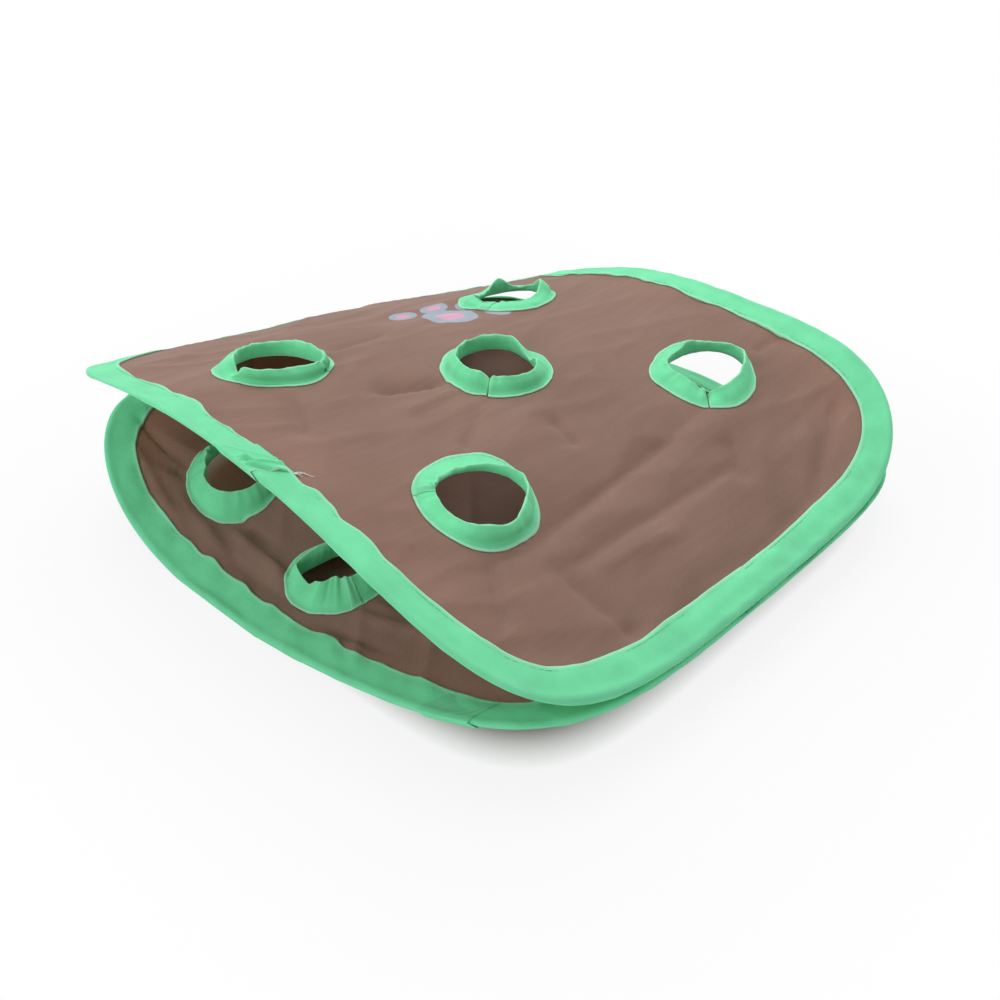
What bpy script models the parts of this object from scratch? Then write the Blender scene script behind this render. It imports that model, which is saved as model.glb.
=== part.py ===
"""Pop-up play toy for cats: two sprung cloth panels sewn together at two sides.

Metres, +Z up. X runs across the toy from side seam to side seam, Y along the
tunnel from mouth to mouth, and Z = 0 is the surface that the toy stands on.
"""
import math

import bmesh
import bpy
from mathutils import Matrix, Vector

# Driving sizes of the panels
PANEL_LENGTH = 0.320
PANEL_WIDTH = 0.338
OUTLINE_POWER = 5.0
CLOTH_THICKNESS = 0.0006
EDGE_BINDING_WIDTH = 0.016
BINDING_WALL = 0.00045
SLOT_CLEARANCE = 0.0006
HOOP_WIRE_DIAMETER = 0.0010
HOOP_RUNNING_CLEARANCE = 0.0002
FERRULE_WALL = 0.0003
FERRULE_LENGTH = 0.014
POCKET_CLEARANCE = 0.0003
POCKET_NOSE_SHARE = 0.75
RIM_FOLD_DEPTH = 0.0004
POCKET_CROWN_WIDTH = 0.0014

# How the lower rim stands: pressed flat on the floor, its wall thinned but whole
STANDING_FLAT = 0.0005
STANDING_WALL = 0.0002
SETTLING_DEPTH = 0.0012

# Heights that shape the lower panel, from its centre outwards
LOWER_CENTRE_HEIGHT = 0.0227
LOWER_ACROSS_TILT = -0.0036
LOWER_ALONG_TILT = -0.0007
LOWER_SIDE_RISE = 0.0064
LOWER_TWIST = -0.0147
LOWER_MOUTH_RISE = -0.0219
LOWER_CORNER_RISE = 0.0185
LOWER_SIDE_SWEEP = -0.0178
LOWER_MOUTH_SWEEP = 0.0116
LOWER_CORNER_TWIST = 0.0292

# How far the two panels bow apart
SEAM_SPACING = 0.0040
CENTRE_OPENING = 0.0471
OPENING_ACROSS_TILT = -0.0052
OPENING_ALONG_TILT = -0.0171
MOUTH_OPENING = 0.0330
OPENING_TWIST = 0.0384
RIGHT_CORNER_OPENING = 0.0168
RIGHT_CORNER_START_SHARE = 0.60
LEFT_CORNER_OPENING = 0.0133
LEFT_CORNER_START_SHARE = -0.26

# The upper panel folds along two lines beside its middle hole, each with a narrow gap
FOLD_MARGIN = 0.0022
FOLD_GAP = 0.0010

# Hinge lines of the upper panel: all slope down towards the back mouth
HINGE_SLOPE = -0.10
LEFT_SEAM_HINGE_DROP = 0.0068
LEFT_CREASE_HINGE_RISE = 0.0170
RIGHT_CREASE_HINGE_RISE = 0.0177

# Holes and their folded bindings
HOLE_PLACE_SHARE = 0.26906
HOLE_MOUTH_MARGIN = 0.0756
CLOTH_HOLE_RADIUS = 0.0235
HOLE_BINDING_RADIUS = 0.0278
HOLE_FOLD_RADIUS = 0.0212
FRILL_RADIUS = 0.0196
FRILL_WALL = 0.0009
FRILL_LOW_HEIGHT = 0.0050
FRILL_HEIGHT = 0.0115
LOWER_OUTER_HOLE_SEAM_MARGIN = 0.0810
LOWER_OUTER_HOLE_MOUTH_MARGIN = 0.0580
LOWER_INNER_HOLE_OFFSET = 0.0040
LOWER_INNER_HOLE_MOUTH_MARGIN = 0.0460

# The sewn overlap where a binding's two ends meet, and the side seams
OVERLAP_LENGTH = 0.024
LOWER_OVERLAP_SEAM_MARGIN = 0.0510
OVERLAP_WALL = 0.0005
OVERLAP_CLEARANCE = 0.0003
SEAM_THREAD_DIAMETER = 0.0006
SEAM_THREAD_INSET = 0.0008
SEAM_HALF_LENGTH = 0.0700

# How finely the curved pieces are stepped
RIM_STEP = 0.0145
HOOP_STEP = 0.0125
CLOTH_CELLS = 20
HOLE_SIDES = 24
THREAD_STEP = 0.0060
WIRE_RESOLUTION = 1

# Standing lobes of each hole's frill: turn, spread and height shares
UPPER_FRILL_SHARES = {
    "left_front": [(0.37, 0.16, 0.75), (0.60, 0.05, 0.60), (0.12, 0.06, 0.55)],
    "left_back": [(0.46, 0.07, 1.00), (0.27, 0.07, 0.95), (0.05, 0.05, 0.40)],
    "centre": [(0.34, 0.07, 1.00), (0.50, 0.05, 0.35), (0.10, 0.06, 0.30)],
    "right_back": [(0.43, 0.09, 0.95), (0.29, 0.08, 0.90)],
    "right_front": [(0.31, 0.06, 0.95), (0.62, 0.06, 0.15)],
}
LOWER_FRILL_SHARES = {
    "outer_front": [(0.52, 0.08, 0.70), (0.02, 0.05, 0.60)],
    "inner_front": [(0.48, 0.08, 1.00), (0.92, 0.05, 0.90), (0.25, 0.08, 0.45)],
    "inner_back": [(0.02, 0.08, 0.70), (0.45, 0.06, 0.60)],
    "outer_back": [(0.98, 0.08, 0.70), (0.55, 0.06, 0.50)],
}

# Sizes that follow from the driving ones
HALF_LENGTH = PANEL_LENGTH / 2
HALF_WIDTH = PANEL_WIDTH / 2
SLOT_HALF = CLOTH_THICKNESS / 2 + SLOT_CLEARANCE
BINDING_HALF = SLOT_HALF + BINDING_WALL
WIRE_RADIUS = HOOP_WIRE_DIAMETER / 2
FERRULE_BORE_RADIUS = WIRE_RADIUS + HOOP_RUNNING_CLEARANCE
FERRULE_RADIUS = FERRULE_BORE_RADIUS + FERRULE_WALL
POCKET_HALF = FERRULE_RADIUS + POCKET_CLEARANCE
POCKET_OUTER_HALF = POCKET_HALF + BINDING_WALL
HOOP_INSET = RIM_FOLD_DEPTH + BINDING_WALL + POCKET_HALF
CLOTH_INSET = HOOP_INSET + POCKET_HALF + SLOT_CLEARANCE
RESTING_HEIGHT = POCKET_OUTER_HALF - STANDING_FLAT
OVERLAP_INNER_HALF = POCKET_OUTER_HALF + OVERLAP_CLEARANCE
OVERLAP_OUTER_HALF = OVERLAP_INNER_HALF + OVERLAP_WALL
CUT_OVERRUN = PANEL_LENGTH / 4
FOLD_OFFSET = HOLE_BINDING_RADIUS + FOLD_MARGIN
HOLE_ACROSS = FOLD_OFFSET + (HALF_WIDTH - FOLD_OFFSET) * HOLE_PLACE_SHARE
HOLE_ALONG = HALF_LENGTH - HOLE_MOUTH_MARGIN
LOWER_OUTER_ACROSS = HALF_WIDTH - LOWER_OUTER_HOLE_SEAM_MARGIN
LOWER_OUTER_ALONG = HALF_LENGTH - LOWER_OUTER_HOLE_MOUTH_MARGIN
LOWER_INNER_ALONG = HALF_LENGTH - LOWER_INNER_HOLE_MOUTH_MARGIN
TURN = 2 * math.pi
QUARTER = math.pi / 2


def clear_scene():
    """Start from an empty scene."""
    for old in list(bpy.data.objects):
        bpy.data.objects.remove(old, do_unlink=True)


def new_collection(name):
    """A collection linked to the scene."""
    collection = bpy.data.collections.new(name)
    bpy.context.scene.collection.children.link(collection)
    return collection


def surface_material(name, colour, roughness, metallic=0.0):
    """A plain Principled material for one kind of piece."""
    material = bpy.data.materials.new(name)
    material.use_nodes = True
    shader = material.node_tree.nodes["Principled BSDF"]
    shader.inputs["Base Color"].default_value = (*colour, 1.0)
    shader.inputs["Roughness"].default_value = roughness
    shader.inputs["Metallic"].default_value = metallic
    material.diffuse_color = (*colour, 1.0)
    return material


# The shape of the panels


def lower_height(x, y):
    """Height of the lower panel's middle surface."""
    across = x / HALF_WIDTH
    along = y / HALF_LENGTH
    height = LOWER_CENTRE_HEIGHT + LOWER_ACROSS_TILT * across + LOWER_ALONG_TILT * along
    height += LOWER_SIDE_RISE * across ** 2 + LOWER_MOUTH_RISE * along ** 2
    height += LOWER_TWIST * across * along + LOWER_CORNER_RISE * (across * along) ** 2
    height += LOWER_SIDE_SWEEP * across ** 2 * along
    height += LOWER_MOUTH_SWEEP * across * along ** 2
    height += LOWER_CORNER_TWIST * across ** 3 * along
    return height


def panel_spacing(x, y):
    """Distance from the lower panel up to the upper panel."""
    across = x / HALF_WIDTH
    along = y / HALF_LENGTH
    bow = CENTRE_OPENING + OPENING_ACROSS_TILT * across + OPENING_ALONG_TILT * along
    bow += MOUTH_OPENING * along ** 2 + OPENING_TWIST * across * along
    if across > 0:
        lead = along
        start = RIGHT_CORNER_START_SHARE
        corner = RIGHT_CORNER_OPENING
    else:
        lead = -along
        start = LEFT_CORNER_START_SHARE
        corner = LEFT_CORNER_OPENING
    flare = max(0.0, (lead - start) / (1 - start)) ** 2
    return SEAM_SPACING + (1 - across ** 2) * bow + corner * across ** 2 * flare


def upper_height(x, y):
    """Height of the upper panel's middle surface."""
    return lower_height(x, y) + panel_spacing(x, y)


def outline_point(turn):
    """Point of the rounded square rim, and the unit direction into the panel."""
    cosine, sine = math.cos(turn), math.sin(turn)
    spread = abs(cosine / HALF_WIDTH) ** OUTLINE_POWER + abs(sine / HALF_LENGTH) ** OUTLINE_POWER
    reach = spread ** (-1 / OUTLINE_POWER)
    x, y = reach * cosine, reach * sine
    lean_x = math.copysign(abs(x / HALF_WIDTH) ** (OUTLINE_POWER - 1), x) / HALF_WIDTH
    lean_y = math.copysign(abs(y / HALF_LENGTH) ** (OUTLINE_POWER - 1), y) / HALF_LENGTH
    return Vector((x, y)), -Vector((lean_x, lean_y)).normalized()


def fold_turn(x):
    """Turn at which the rim crosses x on the side of positive Y."""
    y = HALF_LENGTH * (1 - abs(x / HALF_WIDTH) ** OUTLINE_POWER) ** (1 / OUTLINE_POWER)
    return math.atan2(y, x)


def rim_turns(start, end, step):
    """Turns from start to end whose rim points are evenly spaced."""
    fine_count = 480
    fine = [start + (end - start) * index / fine_count for index in range(fine_count + 1)]
    lengths = [0.0]
    for first, second in zip(fine, fine[1:]):
        gap = (outline_point(second)[0] - outline_point(first)[0]).length
        lengths.append(lengths[-1] + gap)
    count = max(2, round(lengths[-1] / step))
    turns = []
    index = 0
    for stop in range(count + 1):
        target = lengths[-1] * stop / count
        while index < fine_count - 1 and lengths[index + 1] < target:
            index += 1
        part = (target - lengths[index]) / (lengths[index + 1] - lengths[index])
        turns.append(fine[index] + (fine[index + 1] - fine[index]) * part)
    return turns


def resting_lift():
    """How far the panels are moved up so that the lower rim settles on the floor."""
    lowest = min(
        lower_height(*(point + inward * HOOP_INSET))
        for point, inward in (outline_point(turn) for turn in rim_turns(0, TURN, RIM_STEP))
    )
    return RESTING_HEIGHT - SETTLING_DEPTH - lowest


LIFT = resting_lift()


def lower_surface(x, y):
    """Lower panel as it stands on the floor, level where it is pressed down."""
    return max(RESTING_HEIGHT, lower_height(x, y) + LIFT)


def upper_surface(x, y):
    """Upper panel above the floor."""
    return upper_height(x, y) + LIFT


# Building tools


def add_object(name, mesh, material, collection):
    """Link a mesh as a named object with its material."""
    piece = bpy.data.objects.new(name, mesh)
    collection.objects.link(piece)
    if material:
        mesh.materials.append(material)
    return piece


def loft(name, rings, closed):
    """Skin a row of like sections, joined end to start when closed, else capped."""
    shape = bmesh.new()
    rows = [[shape.verts.new(point) for point in ring] for ring in rings]
    pairs = list(zip(rows, rows[1:]))
    if closed:
        pairs.append((rows[-1], rows[0]))
    for near, far in pairs:
        for index in range(len(near)):
            after = (index + 1) % len(near)
            shape.faces.new((near[index], near[after], far[after], far[index]))
    if not closed:
        shape.faces.new(reversed(rows[0]))
        shape.faces.new(rows[-1])
    bmesh.ops.recalc_face_normals(shape, faces=shape.faces)
    mesh = bpy.data.meshes.new(name)
    shape.to_mesh(mesh)
    shape.free()
    mesh.shade_smooth()
    mesh.set_sharp_from_angle(angle=math.radians(40))
    return mesh


def rim_section(turn, surface, outline):
    """One section across the rim: outline holds (distance inward, height, least height)."""
    point, inward = outline_point(turn)
    ring = []
    for inset, rise, least in outline:
        place = point + inward * inset
        ring.append((place.x, place.y, max(least, surface(place.x, place.y) + rise)))
    return ring


def folded_outline(outer, inner):
    """Section of a folded tape from the upper half of its outer and inner lines."""
    outside = [(inset, rise, 0.0) for inset, rise in outer]
    outside += [(inset, -rise, 0.0) for inset, rise in reversed(outer)]
    inside = [(inset, -rise, STANDING_WALL) for inset, rise in inner]
    inside += [(inset, rise, STANDING_WALL) for inset, rise in reversed(inner)]
    return outside + inside


def binding_outline():
    """The folded tape: a pocket round the hoop, and two legs that grip the cloth."""
    outer = [
        (EDGE_BINDING_WIDTH, BINDING_HALF),
        (HOOP_INSET + POCKET_CROWN_WIDTH / 2, POCKET_OUTER_HALF),
        (HOOP_INSET - POCKET_CROWN_WIDTH / 2, POCKET_OUTER_HALF),
        (RIM_FOLD_DEPTH, POCKET_HALF * POCKET_NOSE_SHARE),
    ]
    pocket = [
        (EDGE_BINDING_WIDTH, SLOT_HALF),
        (HOOP_INSET, POCKET_HALF),
        (RIM_FOLD_DEPTH + BINDING_WALL, POCKET_HALF * POCKET_NOSE_SHARE),
    ]
    return folded_outline(outer, pocket)


def rim_piece(name, surface, outline, turns, closed, material, collection):
    """A piece of constant section that follows part of the rim, or all of it."""
    stops = turns[:-1] if closed else turns
    rings = [rim_section(turn, surface, outline) for turn in stops]
    return add_object(name, loft(name, rings, closed), material, collection)


def hoop_wire(name, surface, turns, closed, material, collection):
    """Spring wire inside the rim's pocket."""
    stops = turns[:-1] if closed else turns
    points = []
    for turn in stops:
        point, inward = outline_point(turn)
        place = point + inward * HOOP_INSET
        points.append((place.x, place.y, surface(place.x, place.y)))
    return wire(name, points, WIRE_RADIUS, closed, material, collection)


def wire(name, points, radius, closed, material, collection):
    """A round wire through the points."""
    curve = bpy.data.curves.new(name, "CURVE")
    curve.dimensions = "3D"
    curve.bevel_depth = radius
    curve.bevel_resolution = WIRE_RESOLUTION
    curve.use_fill_caps = not closed
    spline = curve.splines.new("POLY")
    spline.points.add(len(points) - 1)
    for knot, point in zip(spline.points, points):
        knot.co = (*point, 1.0)
    spline.use_cyclic_u = closed
    piece = bpy.data.objects.new(name, curve)
    curve.materials.append(material)
    collection.objects.link(piece)
    return piece


def hole_cutter(name, places, surface, collection):
    """Upright cylinders that cut the round holes of one cloth."""
    shape = bmesh.new()
    for x, y in places:
        bmesh.ops.create_cone(
            shape,
            cap_ends=True,
            segments=HOLE_SIDES,
            radius1=CLOTH_HOLE_RADIUS,
            radius2=CLOTH_HOLE_RADIUS,
            depth=CUT_OVERRUN,
            matrix=Matrix.Translation((x, y, surface(x, y))),
        )
    mesh = bpy.data.meshes.new(name)
    shape.to_mesh(mesh)
    shape.free()
    cutter = add_object(name, mesh, None, collection)
    cutter.hide_render = True
    cutter.display_type = "WIRE"
    return cutter


def strip_cutter(name, low_x, high_x, collection):
    """An upright block that keeps the cloth between two fold lines."""
    shape = bmesh.new()
    bmesh.ops.create_cube(shape, size=1.0)
    tall = PANEL_LENGTH
    size = Vector((high_x - low_x, PANEL_LENGTH + 2 * CUT_OVERRUN, tall))
    bmesh.ops.scale(shape, vec=size, verts=shape.verts)
    bmesh.ops.translate(shape, vec=((low_x + high_x) / 2, 0.0, 0.0), verts=shape.verts)
    mesh = bpy.data.meshes.new(name)
    shape.to_mesh(mesh)
    shape.free()
    cutter = add_object(name, mesh, None, collection)
    cutter.hide_render = True
    cutter.display_type = "WIRE"
    return cutter


def cut(piece, cutter, operation):
    """Exact Boolean that stays on the piece."""
    modifier = piece.modifiers.new(cutter.name, "BOOLEAN")
    modifier.operation = operation
    modifier.solver = "EXACT"
    modifier.object = cutter


def cloth_sheet(name, surface, material, collection):
    """A cloth panel as a thin closed sheet, its edge inside the rim's binding."""
    shape = bmesh.new()
    bmesh.ops.create_grid(shape, x_segments=CLOTH_CELLS, y_segments=CLOTH_CELLS, size=1.0)
    half_width = HALF_WIDTH - CLOTH_INSET
    half_length = HALF_LENGTH - CLOTH_INSET
    for corner in shape.verts:
        across, along = corner.co.x, corner.co.y
        reach = max(abs(across), abs(along))
        spread = (abs(across) ** OUTLINE_POWER + abs(along) ** OUTLINE_POWER) ** (1 / OUTLINE_POWER)
        share = reach / spread if spread else 1.0
        x = half_width * across * share
        y = half_length * along * share
        corner.co = (x, y, surface(x, y))
    mesh = bpy.data.meshes.new(name)
    shape.to_mesh(mesh)
    shape.free()
    mesh.shade_smooth()
    piece = add_object(name, mesh, material, collection)
    shell = piece.modifiers.new("thickness", "SOLIDIFY")
    shell.thickness = CLOTH_THICKNESS
    shell.offset = 0.0
    shell.use_even_offset = True
    return piece


def lobe(turn_share, lobes):
    """Height share of the frill at a turn, the tallest lobe there."""
    height = 0.0
    for centre, spread, share in lobes:
        away = abs((turn_share - centre + 0.5) % 1.0 - 0.5) / spread
        if away < 1.0:
            height = max(height, share * math.cos(away * QUARTER) ** 2)
    return height


def hole_binding(name, place, surface, lobes, material, collection):
    """Tape folded round a hole's edge, rising as a cone to its standing inner fold."""
    rings = []
    for side in range(HOLE_SIDES):
        turn_share = side / HOLE_SIDES
        turn = TURN * turn_share
        stand = FRILL_LOW_HEIGHT + (FRILL_HEIGHT - FRILL_LOW_HEIGHT) * lobe(turn_share, lobes)
        outline = [
            (HOLE_BINDING_RADIUS, BINDING_HALF),
            (FRILL_RADIUS + FRILL_WALL, BINDING_HALF + stand),
            (FRILL_RADIUS, BINDING_HALF + stand),
            (FRILL_RADIUS, 0.0),
            (HOLE_FOLD_RADIUS, -BINDING_HALF),
            (HOLE_BINDING_RADIUS, -BINDING_HALF),
            (HOLE_BINDING_RADIUS, -SLOT_HALF),
            (HOLE_FOLD_RADIUS + BINDING_WALL, -SLOT_HALF),
            (HOLE_FOLD_RADIUS + BINDING_WALL, SLOT_HALF),
            (HOLE_BINDING_RADIUS, SLOT_HALF),
        ]
        ring = []
        for radius, rise in outline:
            x = place[0] + radius * math.cos(turn)
            y = place[1] + radius * math.sin(turn)
            ring.append((x, y, surface(x, y) + rise))
        rings.append(ring)
    return add_object(name, loft(name, rings, True), material, collection)


def ferrule(name, turn, surface, material, collection):
    """Crimped sleeve over the joint of a hoop's two ends."""
    point, inward = outline_point(turn)
    place = point + inward * HOOP_INSET
    ahead = Vector((-inward.y, inward.x))
    half = FERRULE_LENGTH / 2
    front, back = place + ahead * half, place - ahead * half
    first = Vector((back.x, back.y, surface(back.x, back.y)))
    last = Vector((front.x, front.y, surface(front.x, front.y)))
    axis = (last - first).normalized()
    side = axis.cross(Vector((0.0, 0.0, 1.0))).normalized()
    up = side.cross(axis)
    sides = 12
    rings = []
    for step in range(sides):
        angle = TURN * step / sides
        outward = side * math.cos(angle) + up * math.sin(angle)
        ring = [first + outward * FERRULE_BORE_RADIUS, first + outward * FERRULE_RADIUS]
        ring += [last + outward * FERRULE_RADIUS, last + outward * FERRULE_BORE_RADIUS]
        rings.append([tuple(corner) for corner in ring])
    return add_object(name, loft(name, rings, True), material, collection)


def overlap_outline():
    """Second layer of tape where the binding's end is lapped over its start."""
    outer = [
        (EDGE_BINDING_WIDTH, BINDING_HALF + OVERLAP_CLEARANCE + OVERLAP_WALL),
        (HOOP_INSET + POCKET_CROWN_WIDTH / 2, OVERLAP_OUTER_HALF),
        (HOOP_INSET - POCKET_CROWN_WIDTH / 2, OVERLAP_OUTER_HALF),
        (-OVERLAP_WALL - OVERLAP_CLEARANCE, OVERLAP_OUTER_HALF * POCKET_NOSE_SHARE),
    ]
    inner = [
        (EDGE_BINDING_WIDTH, BINDING_HALF + OVERLAP_CLEARANCE),
        (HOOP_INSET + POCKET_CROWN_WIDTH / 2, OVERLAP_INNER_HALF),
        (HOOP_INSET - POCKET_CROWN_WIDTH / 2, OVERLAP_INNER_HALF),
        (-OVERLAP_CLEARANCE, OVERLAP_INNER_HALF * POCKET_NOSE_SHARE),
    ]
    return folded_outline(outer, inner)


def seam_thread(name, side, material, collection):
    """Seam thread between the two rims along one side."""
    steps = round(2 * SEAM_HALF_LENGTH / THREAD_STEP)
    points = []
    for step in range(steps + 1):
        y = -SEAM_HALF_LENGTH + 2 * SEAM_HALF_LENGTH * step / steps
        edge = (1 - abs(y / HALF_LENGTH) ** OUTLINE_POWER) ** (1 / OUTLINE_POWER)
        x = side * (HALF_WIDTH * edge - SEAM_THREAD_INSET)
        points.append((x, y, (lower_surface(x, y) + upper_surface(x, y)) / 2))
    return wire(name, points, SEAM_THREAD_DIAMETER / 2, False, material, collection)


def hang_on_hinge(name, place, pieces, collection):
    """Parent the pieces of one moving strip to an empty on its hinge line."""
    hinge = bpy.data.objects.new(name, None)
    hinge.empty_display_size = FOLD_OFFSET
    hinge.location = place
    collection.objects.link(hinge)
    for piece in pieces:
        piece.parent = hinge
        piece.matrix_parent_inverse = Matrix.Translation(-Vector(place))
    return hinge


def add_hinges(collection):
    """One empty for each strip of the upper panel, on the line that it turns about."""
    seam_height = upper_surface(-HALF_WIDTH, 0.0) - LEFT_SEAM_HINGE_DROP
    left_height = upper_surface(-FOLD_OFFSET, 0.0) + LEFT_CREASE_HINGE_RISE
    right_height = upper_surface(FOLD_OFFSET, 0.0) + RIGHT_CREASE_HINGE_RISE
    lines = {
        "left": (-HALF_WIDTH, 0.0, seam_height),
        "centre": (-FOLD_OFFSET, 0.0, left_height),
        "right": (FOLD_OFFSET, 0.0, right_height),
    }
    slope = math.atan(HINGE_SLOPE)
    for side, place in lines.items():
        pieces = [
            piece for piece in collection.objects
            if piece.name.startswith("upper_") and side_of(piece.name) == side
        ]
        hinge = hang_on_hinge("hinge_" + side, place, pieces, collection)
        hinge["line_pitch"] = slope
    return lines


def side_of(name):
    """Which strip of the upper panel a piece belongs to, from its name."""
    for side in ("left", "right"):
        if "_" + side in name:
            return side
    return "centre"


def build():
    """Make every piece of the toy."""
    clear_scene()
    toy = new_collection("pop_up_cat_toy")
    cutters = new_collection("cutters")
    brown = surface_material("brown_polyester", (0.235, 0.145, 0.115), 0.75)
    green = surface_material("green_tape", (0.19, 0.78, 0.43), 0.70)
    steel = surface_material("spring_steel", (0.45, 0.45, 0.46), 0.35, 1.0)
    thread = surface_material("green_thread", (0.15, 0.62, 0.35), 0.80)

    # Lower panel, whole
    lower_holes = {
        "outer_front": (-LOWER_OUTER_ACROSS, -LOWER_OUTER_ALONG),
        "inner_front": (LOWER_INNER_HOLE_OFFSET, -LOWER_INNER_ALONG),
        "inner_back": (-LOWER_INNER_HOLE_OFFSET, LOWER_INNER_ALONG),
        "outer_back": (LOWER_OUTER_ACROSS, LOWER_OUTER_ALONG),
    }
    whole_rim = rim_turns(0, TURN, RIM_STEP)
    whole_hoop = rim_turns(0, TURN, HOOP_STEP)
    lower_cloth = cloth_sheet("lower_cloth", lower_surface, brown, toy)
    cutter = hole_cutter("lower_holes", list(lower_holes.values()), lower_surface, cutters)
    cut(lower_cloth, cutter, "DIFFERENCE")
    rim_piece("lower_edge_binding", lower_surface, binding_outline(), whole_rim, True, green, toy)
    hoop_wire("lower_hoop", lower_surface, whole_hoop, True, steel, toy)
    for key, place in lower_holes.items():
        name = "lower_hole_binding_" + key
        hole_binding(name, place, lower_surface, LOWER_FRILL_SHARES[key], green, toy)

    # Upper panel, in three strips with a fold line between each two
    upper_holes = {
        "left_front": (-HOLE_ACROSS, -HOLE_ALONG),
        "left_back": (-HOLE_ACROSS, HOLE_ALONG),
        "centre": (0.0, 0.0),
        "right_back": (HOLE_ACROSS, HOLE_ALONG),
        "right_front": (HOLE_ACROSS, -HOLE_ALONG),
    }
    cutter = hole_cutter("upper_holes", list(upper_holes.values()), upper_surface, cutters)
    inner = FOLD_OFFSET - FOLD_GAP / 2
    outer = FOLD_OFFSET + FOLD_GAP / 2
    strips = {
        "left": (-HALF_WIDTH, -outer),
        "centre": (-inner, inner),
        "right": (outer, HALF_WIDTH),
    }
    for side, (low_x, high_x) in strips.items():
        cloth = cloth_sheet("upper_cloth_" + side, upper_surface, brown, toy)
        cut(cloth, strip_cutter("strip_" + side, low_x, high_x, cutters), "INTERSECT")
        cut(cloth, cutter, "DIFFERENCE")
    left_back, left_front = fold_turn(-outer), TURN - fold_turn(-outer)
    right_back, right_front = fold_turn(outer), -fold_turn(outer)
    rim_spans = {
        "left": (left_back, left_front),
        "right": (right_front, right_back),
        "centre_back": (fold_turn(inner), fold_turn(-inner)),
        "centre_front": (TURN - fold_turn(-inner), TURN - fold_turn(inner)),
    }
    for side, (start, end) in rim_spans.items():
        name = "upper_edge_binding_" + side
        turns = rim_turns(start, end, RIM_STEP)
        rim_piece(name, upper_surface, binding_outline(), turns, False, green, toy)
        turns = rim_turns(start, end, HOOP_STEP)
        hoop_wire("upper_hoop_" + side, upper_surface, turns, False, steel, toy)
    for key, place in upper_holes.items():
        name = "upper_hole_binding_" + key
        hole_binding(name, place, upper_surface, UPPER_FRILL_SHARES[key], green, toy)

    # Hoop joints, tape ends and side seams
    ferrule("upper_hoop_ferrule", -QUARTER, upper_surface, steel, toy)
    ferrule("lower_hoop_ferrule", -QUARTER, lower_surface, steel, toy)
    lower_overlap = HALF_WIDTH - LOWER_OVERLAP_SEAM_MARGIN
    overlaps = {
        "upper_tape_overlap": (TURN - QUARTER, upper_surface),
        "lower_tape_overlap": (TURN - fold_turn(-lower_overlap), lower_surface),
    }
    for name, (centre, surface) in overlaps.items():
        spread = OVERLAP_LENGTH / 2
        here = outline_point(centre)[0].x
        start = TURN - fold_turn(here - spread)
        end = TURN - fold_turn(here + spread)
        turns = rim_turns(start, end, OVERLAP_LENGTH / 4)
        rim_piece(name, surface, overlap_outline(), turns, False, green, toy)
    seam_thread("left_seam_thread", -1, thread, toy)
    seam_thread("right_seam_thread", 1, thread, toy)
    add_hinges(toy)


build()
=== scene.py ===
"""Looks of the pop-up play toy for cats, laid out as an add-on.

Two sprung panels of thin brown polyester are edged with folded green tape and
sewn together at two sides. Nine paw holes have standing collars of the same
tape. Metres, +Z up; the shapes follow the same formulas as the part's source.
"""
import math

import bpy
import numpy as np
from bpy.props import FloatProperty, FloatVectorProperty, PointerProperty
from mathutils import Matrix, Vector


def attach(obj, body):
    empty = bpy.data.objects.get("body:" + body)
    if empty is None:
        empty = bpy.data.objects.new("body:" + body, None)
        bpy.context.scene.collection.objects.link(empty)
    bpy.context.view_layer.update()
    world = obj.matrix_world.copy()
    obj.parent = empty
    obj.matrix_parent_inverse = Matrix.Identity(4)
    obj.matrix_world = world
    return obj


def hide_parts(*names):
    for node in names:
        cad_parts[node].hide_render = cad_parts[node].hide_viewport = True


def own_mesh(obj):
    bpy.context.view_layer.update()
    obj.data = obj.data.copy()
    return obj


bl_info = {
    "name": "Pop-up Cat Play Toy",
    "version": (1, 0, 0),
    "blender": (4, 5, 0),
    "location": "3D View > Sidebar > Play Toy",
    "description": "Cloth, tape, hoops and stitching of a sprung pop-up cat toy",
    "category": "Add Mesh",
}

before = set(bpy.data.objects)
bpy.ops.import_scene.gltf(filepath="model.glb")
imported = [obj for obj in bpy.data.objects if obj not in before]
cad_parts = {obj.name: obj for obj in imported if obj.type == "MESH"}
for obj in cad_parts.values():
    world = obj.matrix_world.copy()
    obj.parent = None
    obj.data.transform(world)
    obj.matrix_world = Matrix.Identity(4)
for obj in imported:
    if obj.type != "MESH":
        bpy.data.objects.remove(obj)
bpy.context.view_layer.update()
MM = 0.001
TURN = 2 * math.pi
QUARTER = math.pi / 2

# Outline of both panels, as the source has it
HALF_WIDTH = 0.169
HALF_LENGTH = 0.160
OUTLINE_POWER = 5.0
HOOP_INSET = 0.00215
CLOTH_INSET = 0.00405
SEAM_HALF_LENGTH = 0.0700
SEAM_SPACING = 0.0040
RESTING_HEIGHT = 0.00125
SETTLING_DEPTH = 0.0012
WIRE_RADIUS = 0.0005
FERRULE_RADIUS = 0.0010
FERRULE_LENGTH = 0.014
# Bow of the lower panel, as the source has it: heights at its middle, along and across,
# found by the same fit as the camera
LOWER_CENTRE_HEIGHT = 0.0227
LOWER_ACROSS_TILT = -0.0036
LOWER_ALONG_TILT = -0.0007
LOWER_SIDE_RISE = 0.0064
LOWER_MOUTH_RISE = -0.0219
LOWER_TWIST = -0.0147
LOWER_CORNER_RISE = 0.0185
LOWER_SIDE_SWEEP = -0.0178
LOWER_MOUTH_SWEEP = 0.0116
LOWER_CORNER_TWIST = 0.0292
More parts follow.
